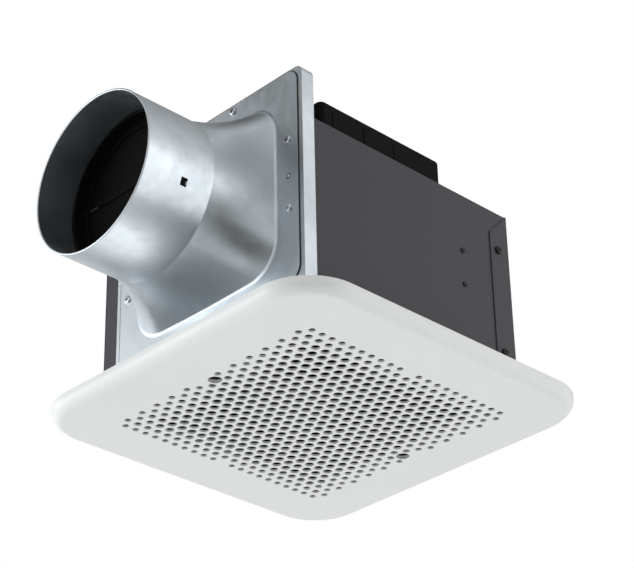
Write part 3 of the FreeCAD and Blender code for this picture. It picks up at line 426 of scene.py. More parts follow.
FINISHES = {finish.name: finish for finish in (
    Moulded("white_moulding", (0.74, 0.755, 0.75), (0.71, 0.725, 0.72), 0.40),
    BakedPaint("dark_paint", (0.041, 0.039, 0.046), (0.052, 0.050, 0.058), 0.44, 0.20),
    ZincSheet("galvanised_sheet", (0.54, 0.58, 0.61), (0.41, 0.45, 0.48)),
    TurnedMetal("bright_screw", (0.62, 0.65, 0.68), 0.30),
    BakedPaint("dark_screw", (0.010, 0.010, 0.012), (0.020, 0.020, 0.023), 0.22, 0.18),
    Moulded("black_plastic", (0.0040, 0.0040, 0.0044), (0.0065, 0.0065, 0.0070), 0.60, 0.04),
    Moulded("impeller_plastic", (0.060, 0.062, 0.066), (0.080, 0.082, 0.088), 0.50),
    BakedPaint("motor_shell", (0.36, 0.37, 0.38), (0.42, 0.43, 0.44), 0.35),
    Wound("core_iron", (0.16, 0.16, 0.17), (0.05, 0.05, 0.055), 0.0005, 0.9, 0.4),
    Wound("copper_wire", (0.48, 0.19, 0.07), (0.16, 0.06, 0.03), 0.0006, 0.7, 0.35),
    # Painted shade: the bearing steel is made near black, so the damper pin inside the duct shows as shaded,
    # without its glint.
    TurnedMetal("bearing_steel", (0.07, 0.07, 0.075), 0.40),
    TurnedMetal("spring_wire", (0.45, 0.45, 0.46), 0.26, (8.0, 8.0, 1.0)),
    Moulded("terminal_plastic", (0.66, 0.64, 0.56), (0.60, 0.58, 0.50), 0.35),
    TurnedMetal("terminal_brass", (0.60, 0.44, 0.18), 0.25),
    Moulded("capacitor_case", (0.52, 0.53, 0.54), (0.47, 0.48, 0.49), 0.35),
    Cellular("soft_rubber", (0.014, 0.014, 0.014), (0.030, 0.030, 0.030)),
    Moulded("lead_sheath", (0.42, 0.42, 0.41), (0.36, 0.36, 0.35), 0.45),
    Cellular("damper_foam", (0.018, 0.018, 0.020), (0.035, 0.035, 0.037), 1400.0),
)}


class Wardrobe:
    """Makes each finish's material once and hands it out by material slot."""

    def __init__(self) -> None:
        """Starts with no materials made."""
        self.made: dict[str, bpy.types.Material] = {}

    def get(self, slot: str) -> bpy.types.Material:
        """The material of a slot.

        Args:
            slot: The slot's name.

        Returns:
            The material, made at the first call.
        """
        if slot not in self.made:
            self.made[slot] = FINISHES[slot].material()
        return self.made[slot]


# ---------------------------------------------------------------- mesh helpers
class Edge(Enum):
    """How a CAD node's edges are finished."""

    FOLDED = "folded"
    MOULDED = "moulded"
    SHARP = "sharp"


EDGE_WIDTH = {Edge.FOLDED: 0.0007, Edge.MOULDED: 0.0005}
WELD_GAP = 0.000004
FLAT_ANGLE = math.radians(0.5)
SMOOTH_ANGLE = math.radians(32)
RIM_ANGLE = math.radians(55)
FACE_WEIGHT = 60


def finish_edges(piece: bpy.types.Object, edge: Edge) -> None:
    """Welds a piece's loose triangles and rounds or keeps its edges.

    Args:
        piece: The object.
        edge: The edge finish.
    """
    for polygon in piece.data.polygons:
        polygon.use_smooth = True
    weld = piece.modifiers.new("weld", "WELD")
    weld.merge_threshold = WELD_GAP
    if edge is not Edge.SHARP:
        flat = piece.modifiers.new("flat", "DECIMATE")
        flat.decimate_type = "DISSOLVE"
        flat.angle_limit = FLAT_ANGLE
        round_edges(piece, EDGE_WIDTH[edge], SMOOTH_ANGLE)
        settle_normals(piece)
    else:
        split = piece.modifiers.new("split", "EDGE_SPLIT")
        split.split_angle = SMOOTH_ANGLE


def round_edges(piece: bpy.types.Object, width: float, angle: float, segments: int = 2) -> None:
    """Rounds the edges of a piece that are sharper than an angle.

    Args:
        piece: The object.
        width: The rounding's width in metres.
        angle: The angle in radians.
        segments: Steps across the rounding.
    """
    bevel = piece.modifiers.new("bevel", "BEVEL")
    bevel.width = width
    bevel.segments = segments
    bevel.limit_method = "ANGLE"
    bevel.angle_limit = angle


def settle_normals(piece: bpy.types.Object) -> None:
    """Lets large faces set the shading of the bevels beside them.

    Args:
        piece: The object.
    """
    weighted = piece.modifiers.new("weighted", "WEIGHTED_NORMAL")
    weighted.mode = "FACE_AREA"
    weighted.weight = FACE_WEIGHT
    weighted.keep_sharp = True


def thicken(piece: bpy.types.Object, thickness: float) -> None:
    """Gives an open sheet its wall, on the inner side of its faces.

    Args:
        piece: The sheet.
        thickness: The wall's thickness in metres.
    """
    wall = piece.modifiers.new("wall", "SOLIDIFY")
    wall.thickness = thickness
    wall.offset = -1.0


def scene_object(name: str, data: bpy.types.ID) -> bpy.types.Object:
    """Puts a mesh, a lamp or a camera in the scene, at the origin.

    Args:
        name: The object's name.
        data: What the object shows.

    Returns:
        The object.
    """
    made = bpy.data.objects.new(name, data)
    bpy.context.scene.collection.objects.link(made)
    return made


def mesh_object(name: str, bm: bmesh.types.BMesh) -> bpy.types.Object:
    """Turns a bmesh into an object at the origin.

    Args:
        name: The object's name.
        bm: The mesh, freed here.

    Returns:
        The object.
    """
    mesh = bpy.data.meshes.new(name)
    bm.to_mesh(mesh)
    bm.free()
    return scene_object(name, mesh)


def finish_piece(name: str, bm: bmesh.types.BMesh, material: bpy.types.Material) -> bpy.types.Object:
    """Turns a bmesh in millimetres into a smooth piece in its material.

    Args:
        name: The piece's name.
        bm: The mesh, freed here.
        material: The piece's finish.

    Returns:
        The piece.
    """
    for face in bm.faces:
        face.smooth = True
    bmesh.ops.scale(bm, verts=bm.verts, vec=(MM, MM, MM))
    piece = mesh_object(name, bm)
    piece.data.materials.append(material)
    log.info("%s: %d faces", name, len(piece.data.polygons))
    return piece


def extend_rim(bm: bmesh.types.BMesh, edges: list[bmesh.types.BMEdge]) -> tuple[list, list]:
    """Extrudes a rim in place.

    Args:
        bm: The mesh.
        edges: The rim's edges.

    Returns:
        The new rim's edges and its vertices.
    """
    made = bmesh.ops.extrude_edge_only(bm, edges=edges)["geom"]
    verts = [item for item in made if isinstance(item, bmesh.types.BMVert)]
    new = set(verts)
    rim = [item for item in made if isinstance(item, bmesh.types.BMEdge)
           and item.verts[0] in new and item.verts[1] in new]
    return rim, verts


def add_box(bm: bmesh.types.BMesh, size: tuple[float, ...], middle: tuple[float, ...]) -> None:
    """Adds a plain box.

    Args:
        bm: The mesh.
        size: Its lengths along X, Y and Z.
        middle: Its middle.
    """
    verts = bmesh.ops.create_cube(bm, size=1.0)["verts"]
    bmesh.ops.scale(bm, verts=verts, vec=size)
    bmesh.ops.translate(bm, verts=verts, vec=middle)


def rounded_rectangle(bm: bmesh.types.BMesh, half_a: float, half_b: float, radius: float,
                      segments: int, side_cuts: int = 0) -> list[bmesh.types.BMEdge]:
    """Adds the outline of a rounded rectangle in the XY plane.

    Args:
        bm: The mesh, empty so far.
        half_a: Half its length along X.
        half_b: Half its length along Y.
        radius: The corners' radius.
        segments: Edges in each corner.
        side_cuts: Points between the ends of each straight side.

    Returns:
        The outline's edges.
    """
    bmesh.ops.create_grid(bm, x_segments=1, y_segments=1, size=1.0)
    bmesh.ops.scale(bm, verts=bm.verts, vec=(half_a, half_b, 1.0))
    bmesh.ops.bevel(bm, geom=list(bm.verts), offset=radius, offset_type="OFFSET", affect="VERTICES",
                    segments=segments, profile=0.5, material=-1)
    bmesh.ops.delete(bm, geom=list(bm.faces), context="FACES_ONLY")
    if side_cuts:
        sides = sorted(bm.edges, key=lambda edge: edge.calc_length())[-4:]
        bmesh.ops.subdivide_edges(bm, edges=sides, cuts=side_cuts)
    return list(bm.edges)


def turned_ring(bm: bmesh.types.BMesh, start: Vector, axis: Vector, inner: float, outer: float,
                length: float, steps: int) -> None:
    """Adds a tube, or a bar where its inner radius is nothing, spun from its section.

    Args:
        bm: The mesh.
        start: The middle of its first end.
        axis: Its direction.
        inner: The bore's radius.
        outer: The outer radius.
        length: Its length.
        steps: Edges round it.
    """
    side = axis.orthogonal().normalized()
    corners = [(inner, 0.0), (outer, 0.0), (outer, length), (inner, length)]
    verts = [bm.verts.new(start + side * radius + axis * along) for radius, along in corners]
    edges = [bm.edges.new(pair) for pair in zip(verts, verts[1:] + verts[:1] if inner else verts[1:])]
    before = set(bm.faces)
    bmesh.ops.spin(bm, geom=verts + edges, cent=start, axis=axis, angle=math.tau, steps=steps, use_merge=True)
    around = list({vert for face in bm.faces if face not in before for vert in face.verts})
    bmesh.ops.remove_doubles(bm, verts=around, dist=SAME_POINT)
    bmesh.ops.recalc_face_normals(bm, faces=[face for face in bm.faces if face not in before])


# ---------------------------------------------------------------- duct adaptor
@dataclass(frozen=True)
class Section:
    """A rounded rectangle across the duct at one place along X."""

    x: float
    half_y: float
    half_z: float
    corner_r: float
    middle: tuple[float, float]

    def carry(self, place: Vector, to: "Section") -> Vector:
        """Moves a point of this section's outline to the same point of another's.

        Args:
            place: The point.
            to: The other section.

        Returns:
            The point on the other section.
        """
        carried = [to.x]
        for axis, half, to_half in ((0, self.half_y, to.half_y), (1, self.half_z, to.half_z)):
            away = place[axis + 1] - self.middle[axis]
            flat = half - self.corner_r
            to_flat = to_half - to.corner_r
            reach = abs(away) * to_flat / flat
            if abs(away) > flat:
                reach = to_flat + (abs(away) - flat) * to.corner_r / self.corner_r
            carried.append(to.middle[axis] + math.copysign(reach, away))
        return Vector(carried)


@dataclass
class DuctAdaptor:
    """Flange, square-to-round cone and collar with lanced stops, in one drawn sheet, in millimetres."""

    wardrobe: Wardrobe
    sheet: float = 1.0
    sheet_edge: float = 0.28
    seam_gap: float = 0.002
    face_x: float = -134.4
    flange_y: tuple[float, float] = (-126.3, 101.3)
    flange_z: tuple[float, float] = (24.0, 228.5)
    flange_corner: float = 12.0
    axis: tuple[float, float] = (-12.0, 124.0)
    cone_half: tuple[float, float] = (88.0, 83.5)
    cone_corner: float = 32.0
    cone_end: float = -190.0
    mouth: float = -259.5
    collar_r: float = 73.5
    collar_rings: int = 8
    foot_fillet: float = 2.0
    foot_segments: int = 5
    flare: float = 2.4
    flare_share: float = 0.5
    cone_rings: int = 9
    crease_width: float = 0.3
    corner_segments: int = 14
    side_cuts: int = 13
    lance_x: float = -218.4
    lance_turns: tuple[float, ...] = (200.4, 320.4, 80.4)
    lance_long: float = 6.4
    lance_wide: float = 7.2
    lance_patch: float = 2.5
    tab_wide: float = 3.6
    tab_reach: float = 2.0
    tab_lean: float = 1.0
    pip_places: tuple[tuple[float, float], ...] = ((-115.0, 123.95), (91.0, 123.95))
    pip_r: float = 1.7
    pip_flatness: float = 0.62
    pip_sink: float = 0.1
    # Dark rings round the pips, which paint the shade at their edges.
    pip_shade_ring: tuple[float, float] = (1.6, 2.5)
    pip_shade_ring_stand: float = 0.12
    pip_shade_ring_long: float = 0.3
    hem_long: float = 1.6
    hem_wide: float = 1.7
    hem_stand: float = 0.05
    hem_lap: float = 1.0
    hem_edge: float = 0.6
    hem_steps: int = 144
    # Painted shadow: the thin dark strip round the flange's edge stands in for its shadow gap.
    shadow_strip_wide: float = 0.9
    shadow_strip_height: float = 0.7

    @property
    def flange(self) -> Section:
        """The flange's outline.

        Returns:
            The outline, at the flange's face.
        """
        (low_y, high_y), (low_z, high_z) = self.flange_y, self.flange_z
        middle = ((low_y + high_y) / 2, (low_z + high_z) / 2)
        return Section(self.face_x, (high_y - low_y) / 2, (high_z - low_z) / 2, self.flange_corner, middle)

    def stand_up(self, bm: bmesh.types.BMesh, x: float, hand: int) -> None:
        """Turns a mesh drawn round the origin's Z axis on to the flange's middle, along X.

        Args:
            bm: The mesh.
            x: The place of its drawing plane.
            hand: 1 where its Z turns to +X, and -1 where it turns to -X.
        """
        y, z = self.flange.middle
        upright = Matrix(((0, 0, hand, x), (1, 0, 0, y), (0, 1, 0, z), (0, 0, 0, 1)))
        bmesh.ops.transform(bm, matrix=upright, verts=bm.verts)

    def cone_point(self, foot: Vector, along: float) -> Vector:
        """A point of the cone on the line from its foot to its round end.

        Args:
            foot: The line's point on the foot.
            along: Its place on the line, from 0 at the foot to 1 at the round end.

        Returns:
            The point, on a line that flares towards the foot.
        """
        centre = Vector((0.0, *self.axis))
        outward = Vector((0.0, foot.y, foot.z)) - centre
        rest = 1.0 - along
        share = (1.0 - self.flare_share) * rest + self.flare_share * rest ** self.flare
        reach = self.collar_r + (outward.length - self.collar_r) * share
        place = centre + outward.normalized() * reach
        place.x = self.face_x + (self.cone_end - self.face_x) * along
        return place

    def lance(self, bm: bmesh.types.BMesh, turn: float) -> None:
        """Opens one stop's slot in the collar and leaves its tab bent inwards.

        Args:
            bm: The sheet's mesh, in millimetres.
            turn: Its place round the collar in degrees, from +Y towards +Z.
        """
        angle = math.radians(turn)
        outward = Vector((0.0, math.cos(angle), math.sin(angle)))
        along = Vector((0.0, -math.sin(angle), math.cos(angle)))
        middle = Vector((self.lance_x, *self.axis)) + outward * self.collar_r

        def faces_within(long: float, wide: float, deep: float) -> list[bmesh.types.BMFace]:
            """The faces in a box round the slot.

            Args:
                long: Half the box's length along X.
                wide: Half its width round the collar.
                deep: Half its depth through the wall.

            Returns:
                The faces whose middles lie in it.
            """
            found = []
            for face in bm.faces:
                away = face.calc_center_median() - middle
                if abs(away.x) < long and abs(away.dot(along)) < wide and abs(away.dot(outward)) < deep:
                    found.append(face)
            return found

        reach = self.lance_wide * self.lance_patch
        planes = [(Vector((1, 0, 0)), self.lance_long / 2), (Vector((-1, 0, 0)), self.lance_long / 2),
                  (along, self.lance_wide / 2), (-along, self.lance_wide / 2),
                  (along, self.tab_wide / 2), (-along, self.tab_wide / 2)]
        for normal, half in planes:
            patch = faces_within(reach, reach, reach)
            around = list({edge for face in patch for edge in face.edges})
            corners = list({vert for face in patch for vert in face.verts})
            bmesh.ops.bisect_plane(bm, geom=patch + around + corners, dist=SAME_POINT,
                                   plane_co=middle + normal * half, plane_no=normal)
        inside = faces_within(self.lance_long / 2, self.lance_wide / 2, 2 * self.sheet)
        rim = {edge for face in inside for edge in face.edges}
        bmesh.ops.delete(bm, geom=inside, context="FACES_ONLY")
        hinge_x = self.lance_x + self.lance_long / 2
        slack = 0.01
        hinge = [edge for edge in rim if edge.is_valid and edge.is_boundary
                 and all(abs(vert.co.x - hinge_x) < slack for vert in edge.verts)
                 and all(abs((vert.co - middle).dot(along)) < self.tab_wide / 2 + slack
                         for vert in edge.verts)]
        bent = outward * -self.tab_reach - Vector((self.tab_lean, 0.0, 0.0))
        bmesh.ops.translate(bm, verts=extend_rim(bm, hinge)[1], vec=bent)

    def draw(self, bm: bmesh.types.BMesh) -> None:
        """Draws the flange, the cone and the collar as one surface without thickness.

        Args:
            bm: The sheet's mesh, empty so far.
        """
        flange = self.flange
        foot = Section(self.face_x, *self.cone_half, self.cone_corner, self.axis)
        edges = rounded_rectangle(bm, flange.half_y, flange.half_z, flange.corner_r, self.corner_segments,
                                  self.side_cuts)
        self.stand_up(bm, self.face_x, 1)
        edges, verts = extend_rim(bm, edges)
        foot_edges = edges
        for vert in verts:
            vert.co = flange.carry(vert.co, foot)
        feet = {vert: vert.co.copy() for vert in verts}
        for ring in range(self.cone_rings):
            edges, verts = extend_rim(bm, edges)
            around = {}
            for vert in verts:
                below = next(edge.other_vert(vert) for edge in vert.link_edges
                             if edge.other_vert(vert) in feet)
                around[vert] = feet[below]
                vert.co = self.cone_point(feet[below], (ring + 1) / self.cone_rings)
            feet = around
        crease_edges = edges
        collar_step = (self.mouth + self.hem_lap - self.cone_end) / self.collar_rings
        for _ in range(self.collar_rings):
            edges, verts = extend_rim(bm, edges)
            bmesh.ops.translate(bm, verts=verts, vec=(collar_step, 0, 0))
        bmesh.ops.bevel(bm, geom=foot_edges, offset=self.foot_fillet, offset_type="OFFSET", affect="EDGES",
                        segments=self.foot_segments, profile=0.5, material=-1, loop_slide=True)
        bmesh.ops.bevel(bm, geom=crease_edges, offset=self.crease_width, offset_type="OFFSET",
                        affect="EDGES", segments=2, profile=0.5, material=-1, loop_slide=True)
        bmesh.ops.remove_doubles(bm, verts=bm.verts, dist=self.seam_gap)

    def build(self) -> None:
        """Builds the sheet, gives it its thickness and rounds its rim."""
        bm = bmesh.new()
        self.draw(bm)
        bmesh.ops.recalc_face_normals(bm, faces=bm.faces)
        outermost = min(bm.faces, key=lambda face: face.calc_center_median().x)
        if outermost.normal.dot(outermost.calc_center_median() - Vector((self.mouth, *self.axis))) < 0:
            bmesh.ops.reverse_faces(bm, faces=bm.faces)
        for turn in self.lance_turns:
            self.lance(bm, turn)
        piece = finish_piece("duct_adaptor_sheet", bm, self.wardrobe.get("galvanised_sheet"))
        thicken(piece, self.sheet * MM)
        round_edges(piece, self.sheet_edge * MM, RIM_ANGLE)
        settle_normals(piece)
        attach(piece, "casing")
        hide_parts("duct_adaptor", "duct_collar")

    def hem_mouth(self) -> None:
        """Rounded hem round the collar's mouth."""
        bm = bmesh.new()
        outer = self.collar_r + self.hem_stand
        turned_ring(bm, Vector((self.mouth, *self.axis)), Vector((1, 0, 0)), outer - self.hem_wide, outer,
                    self.hem_long, self.hem_steps)
        piece = finish_piece("mouth_hem", bm, self.wardrobe.get("galvanised_sheet"))
        round_edges(piece, self.hem_edge * MM, RIM_ANGLE, segments=3)
        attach(piece, "casing")

    def lay_shadow_strip(self) -> None:
        """Thin dark rubber strip round the flange's edge: painted shadow, for the shadow gap along the
        flange's edge.
        """
        flange = self.flange
        bm = bmesh.new()
        edges = rounded_rectangle(bm, flange.half_y, flange.half_z, flange.corner_r, self.corner_segments)
        for vert in extend_rim(bm, edges)[1]:
            vert.co.z = self.shadow_strip_height
        bmesh.ops.recalc_face_normals(bm, faces=bm.faces)
        bmesh.ops.solidify(bm, geom=list(bm.faces), thickness=-self.shadow_strip_wide)
        self.stand_up(bm, self.face_x + self.sheet, -1)
        bmesh.ops.recalc_face_normals(bm, faces=bm.faces)
        piece = finish_piece("adaptor_shadow_strip", bm, self.wardrobe.get("soft_rubber"))
        settle_normals(piece)
        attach(piece, "casing")

    def press_pips(self) -> None:
        """Half-shear pips between the side screws of the flange, and a dark ring round each, which paints the
        shade at the pip's edge.
        """
        bm = bmesh.new()
        for y, z in self.pip_places:
            made = bmesh.ops.create_uvsphere(bm, u_segments=20, v_segments=10, radius=self.pip_r)["verts"]
            bmesh.ops.scale(bm, verts=made, vec=(self.pip_flatness, 1.0, 1.0))
            bmesh.ops.translate(bm, verts=made, vec=(self.face_x + self.pip_sink, y, z))
        piece = finish_piece("adaptor_pips", bm, self.wardrobe.get("bright_screw"))
        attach(piece, "casing")
        # Painted shade: a dark ring round each pip stands in for the shade at its edge.
        bm = bmesh.new()
        for y, z in self.pip_places:
            turned_ring(bm, Vector((self.face_x - self.pip_shade_ring_stand, y, z)), Vector((1, 0, 0)),
                        *self.pip_shade_ring, self.pip_shade_ring_long, 24)
        ring = finish_piece("pip_shade_rings", bm, self.wardrobe.get("dark_screw"))
        settle_normals(ring)
        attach(ring, "casing")


# ---------------------------------------------------------------- grille
@dataclass
class Grille:
    """Moulded pan with round holes, access sleeves, a screen rib and spring ears, in millimetres."""

    wardrobe: Wardrobe
    side: float = 350.0
    corner_r: float = 50.0
    depth: float = 14.0
    edge_r: float = 9.5
    edge_profile: float = 0.42
    skin: float = 2.2
    pitch: float = 11.25
    rows: int = 25
    columns: int = 21
    ring_hole_r: tuple[float, ...] = (3.1, 3.5, 4.0)
    field_hole_r: float = 4.35
    access_hole_r: float = 6.2
    sleeve_wall: float = 1.5
    sleeve_height: float = 1.6
    rib_half: tuple[float, float] = (124.5, 128.5)
    rib_corner: float = 12.0
    rib_wall: float = 1.8
    rib_top: float = -1.3
    spring_y: float = 119.5
    ear_start: float = 4.5
    ear_wall: float = 2.0
    ear_half: float = 5.0
    pin_z: float = 2.0
    pin_r: float = 3.5
    corner_segments: int = 18
    edge_segments: int = 10
    rib_segments: int = 8
    hole_segments: int = 18
    access_segments: int = 32
    pin_segments: int = 24
    lip: float = 0.22
    lip_angle: float = 60.0
    fitting_edge: float = 0.25
    fitting_angle: float = 50.0
    # Painted shade: a dark foam strip and bar inside the screen rib, where the rib is only shaded.
    shade_lining: float = 1.5
    shade_bar_x: tuple[float, float] = (119.2, 122.9)
    shade_bar_half: float = 121.0
    shade_bar_top: float = -0.2

    def holes(self) -> tuple[list[tuple[float, float, float]], list[tuple[float, float]]]:
        """Lays out the staggered rows of holes.

        Returns:
            The holes' centres with their radii, and the centres of the two access holes.
        """
        holes = []
        access = []
        middle = (self.rows - 1) // 2
        for row in range(self.rows):
            count = self.columns + row % 2
            y = (row - middle) * self.pitch * math.sqrt(3) / 2
            for column in range(count):
                x = (column - (count - 1) / 2) * self.pitch
                ring = min(row, self.rows - 1 - row, column, count - 1 - column)
                over_spring = row in (0, self.rows - 1) and abs(x) < self.pitch / 4
                beside_access = (row, column) in ((middle + 1, 0), (middle - 1, count - 1))
                if over_spring or beside_access:
                    continue
                if row == middle and column in (0, count - 1):
                    access.append((x, y))
                    continue
                radius = self.ring_hole_r[ring] if ring < len(self.ring_hole_r) else self.field_hole_r
                holes.append((x, y, radius))
        return holes, access

    def pierce(self, bm: bmesh.types.BMesh, border: list[bmesh.types.BMEdge]) -> None:
        """Fills the pan's front face and leaves its holes open.

        Args:
            bm: The pan's mesh.
            border: The edges round the front face.
        """
        holes, access = self.holes()
        net = border
        for x, y, radius in holes + [(x, y, self.access_hole_r) for x, y in access]:
            segments = self.hole_segments if radius < self.access_hole_r else self.access_segments
            spot = bmesh.ops.create_circle(bm, cap_ends=False, segments=segments, radius=radius)["verts"]
            bmesh.ops.translate(bm, verts=spot, vec=(x, y, -self.depth))
            net = net + list({edge for vert in spot for edge in vert.link_edges})
        bmesh.ops.triangle_fill(bm, use_beauty=True, use_dissolve=False, edges=net, normal=(0, 0, -1))
        turned = [face for face in bm.faces if face.normal.z > 0.5]
        bmesh.ops.reverse_faces(bm, faces=turned)

    def make_pan(self) -> None:
        """The pan: a rounded skin, pierced, thickened inwards, with soft hole edges."""
        half = self.side / 2
        bm = bmesh.new()
        edges = rounded_rectangle(bm, half, half, self.corner_r, self.corner_segments)
        bmesh.ops.translate(bm, verts=extend_rim(bm, edges)[1], vec=(0, 0, -self.depth))
        rim = [edge for edge in bm.edges if all(vert.co.z < -self.depth / 2 for vert in edge.verts)]
        bmesh.ops.edgeloop_fill(bm, edges=rim)
        bmesh.ops.recalc_face_normals(bm, faces=bm.faces)
        bmesh.ops.bevel(bm, geom=rim, offset=self.edge_r, offset_type="OFFSET", affect="EDGES",
                        segments=self.edge_segments, profile=self.edge_profile, material=-1,
                        loop_slide=True)
        flat = max(bm.faces, key=lambda face: len(face.verts))
        border = list(flat.edges)
        bmesh.ops.delete(bm, geom=[flat], context="FACES_ONLY")
        self.pierce(bm, border)
        piece = finish_piece("grille_pan", bm, self.wardrobe.get("white_moulding"))
        thicken(piece, self.skin * MM)
        round_edges(piece, self.lip * MM, math.radians(self.lip_angle))
        settle_normals(piece)
        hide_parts("grille")
        self.hang(piece)

    def raise_band(self, bm: bmesh.types.BMesh, inset: float, low: float, wall: float) -> None:
        """Adds an upright band along the screen rib, from a level up to the rib's top.

        Args:
            bm: The mesh, empty so far.
            inset: How far the band's outer face stands inside the rib's.
            low: The level of its foot.
            wall: Its thickness.
        """
        half_x, half_y = (half - inset for half in self.rib_half)
        edges = rounded_rectangle(bm, half_x, half_y, self.rib_corner - inset, self.rib_segments)
        bmesh.ops.translate(bm, verts=bm.verts, vec=(0, 0, low))
        bmesh.ops.translate(bm, verts=extend_rim(bm, edges)[1], vec=(0, 0, self.rib_top - low))
        bmesh.ops.recalc_face_normals(bm, faces=bm.faces)
        inward = [face for face in bm.faces
                  if face.normal.dot(Vector((*face.calc_center_median().xy, 0.0))) < 0]
        bmesh.ops.reverse_faces(bm, faces=inward)
        bmesh.ops.solidify(bm, geom=list(bm.faces), thickness=wall)

    def make_fittings(self) -> None:
        """The screen rib, the sleeves over the access holes, and the ears and pins of the springs."""
        bm = bmesh.new()
        low = self.skin / 2 - self.depth
        self.raise_band(bm, 0.0, low, self.rib_wall)
        for x, y in self.holes()[1]:
            top = self.skin - self.depth + self.sleeve_height
            turned_ring(bm, Vector((x, y, low)), Vector((0, 0, 1)), self.access_hole_r,
                        self.access_hole_r + self.sleeve_wall, top - low, self.access_segments)
        for side in (-1, 1):
            reach = self.ear_start + self.ear_wall / 2
            turned_ring(bm, Vector((0, side * self.spring_y - reach, self.pin_z)), Vector((0, 1, 0)), 0.0,
                        self.pin_r, 2 * reach, self.pin_segments)
            for hand in (-1, 1):
                start = side * self.spring_y + min(hand * self.ear_start,
                                                   hand * (self.ear_start + self.ear_wall))
                turned_ring(bm, Vector((0, start, self.pin_z)), Vector((0, 1, 0)), 0.0, self.ear_half,
                            self.ear_wall, self.pin_segments)
                add_box(bm, (2 * self.ear_half, self.ear_wall, self.pin_z - low),
                        (0, start + self.ear_wall / 2, (self.pin_z + low) / 2))
        piece = finish_piece("grille_fittings", bm, self.wardrobe.get("white_moulding"))
        round_edges(piece, self.fitting_edge * MM, math.radians(self.fitting_angle))
        settle_normals(piece)
        self.hang(piece)

    def shade_rib(self) -> None:
        """Dark foam strip on the inner face of the screen rib, and its bar over the rib's rear side: painted
        shade, dark where the rib is only in shade.
        """
        bm = bmesh.new()
        self.raise_band(bm, self.rib_wall, self.skin - self.depth, self.shade_lining)
        add_box(bm, (self.shade_bar_x[1] - self.shade_bar_x[0], 2 * self.shade_bar_half, self.shade_bar_top - self.rib_top),
                (sum(self.shade_bar_x) / 2, 0, (self.shade_bar_top + self.rib_top) / 2))
        # Painted shade: dark foam where the rib's inner face and top are only in shade.
        piece = finish_piece("grille_painted_shade", bm, self.wardrobe.get("damper_foam"))
        settle_normals(piece)
        self.hang(piece)

    def hang(self, piece: bpy.types.Object) -> None:
        """Hangs a piece on the grille's body."""
        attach(piece, "grille")


# ---------------------------------------------------------------- the carried-over CAD nodes
@dataclass
class FrameNodes:
    """Dresses the CAD nodes, whose shapes stay as they are."""

    wardrobe: Wardrobe
    folded: tuple[str, ...] = (
        "front_frame", "rear_panel", "housing_front", "housing_top", "side_near", "side_far",
        "spring_bracket_1", "spring_bracket_2", "wiring_box", "wiring_cover")
    moulded: tuple[str, ...] = ("top_cover", "terminal_block")

    def dress(self) -> None:
        """Gives each node its slot's material and its edge finish."""
        slots = {part["node"]: part["material_slot"] for part in frame["record"]["subparts"]}
        for name, node in frame["nodes"].items():
            node.data.materials.clear()
            node.data.materials.append(self.wardrobe.get(slots[name]))
            edge = Edge.SHARP
            if name in self.folded:
                edge = Edge.FOLDED
            elif name in self.moulded:
                edge = Edge.MOULDED
            finish_edges(node, edge)
            log.info("dressed %s in %s", name, slots[name])


# ---------------------------------------------------------------- studio
@dataclass(frozen=True)
class Lamp:
    """A soft square lamp that looks at the object's middle."""

    name: str
    place: tuple[float, float, float]
    size: float
    power: float
    colour: tuple[float, float, float] = (1.0, 1.0, 1.0)
    mirrored: bool = True


@dataclass(frozen=True)
class Card:
    """A square card that stands in the reflections, and in the open light too where it is a flag."""

    name: str
    place: tuple[float, float, float]
    size: float
    level: float
    flag: bool = False


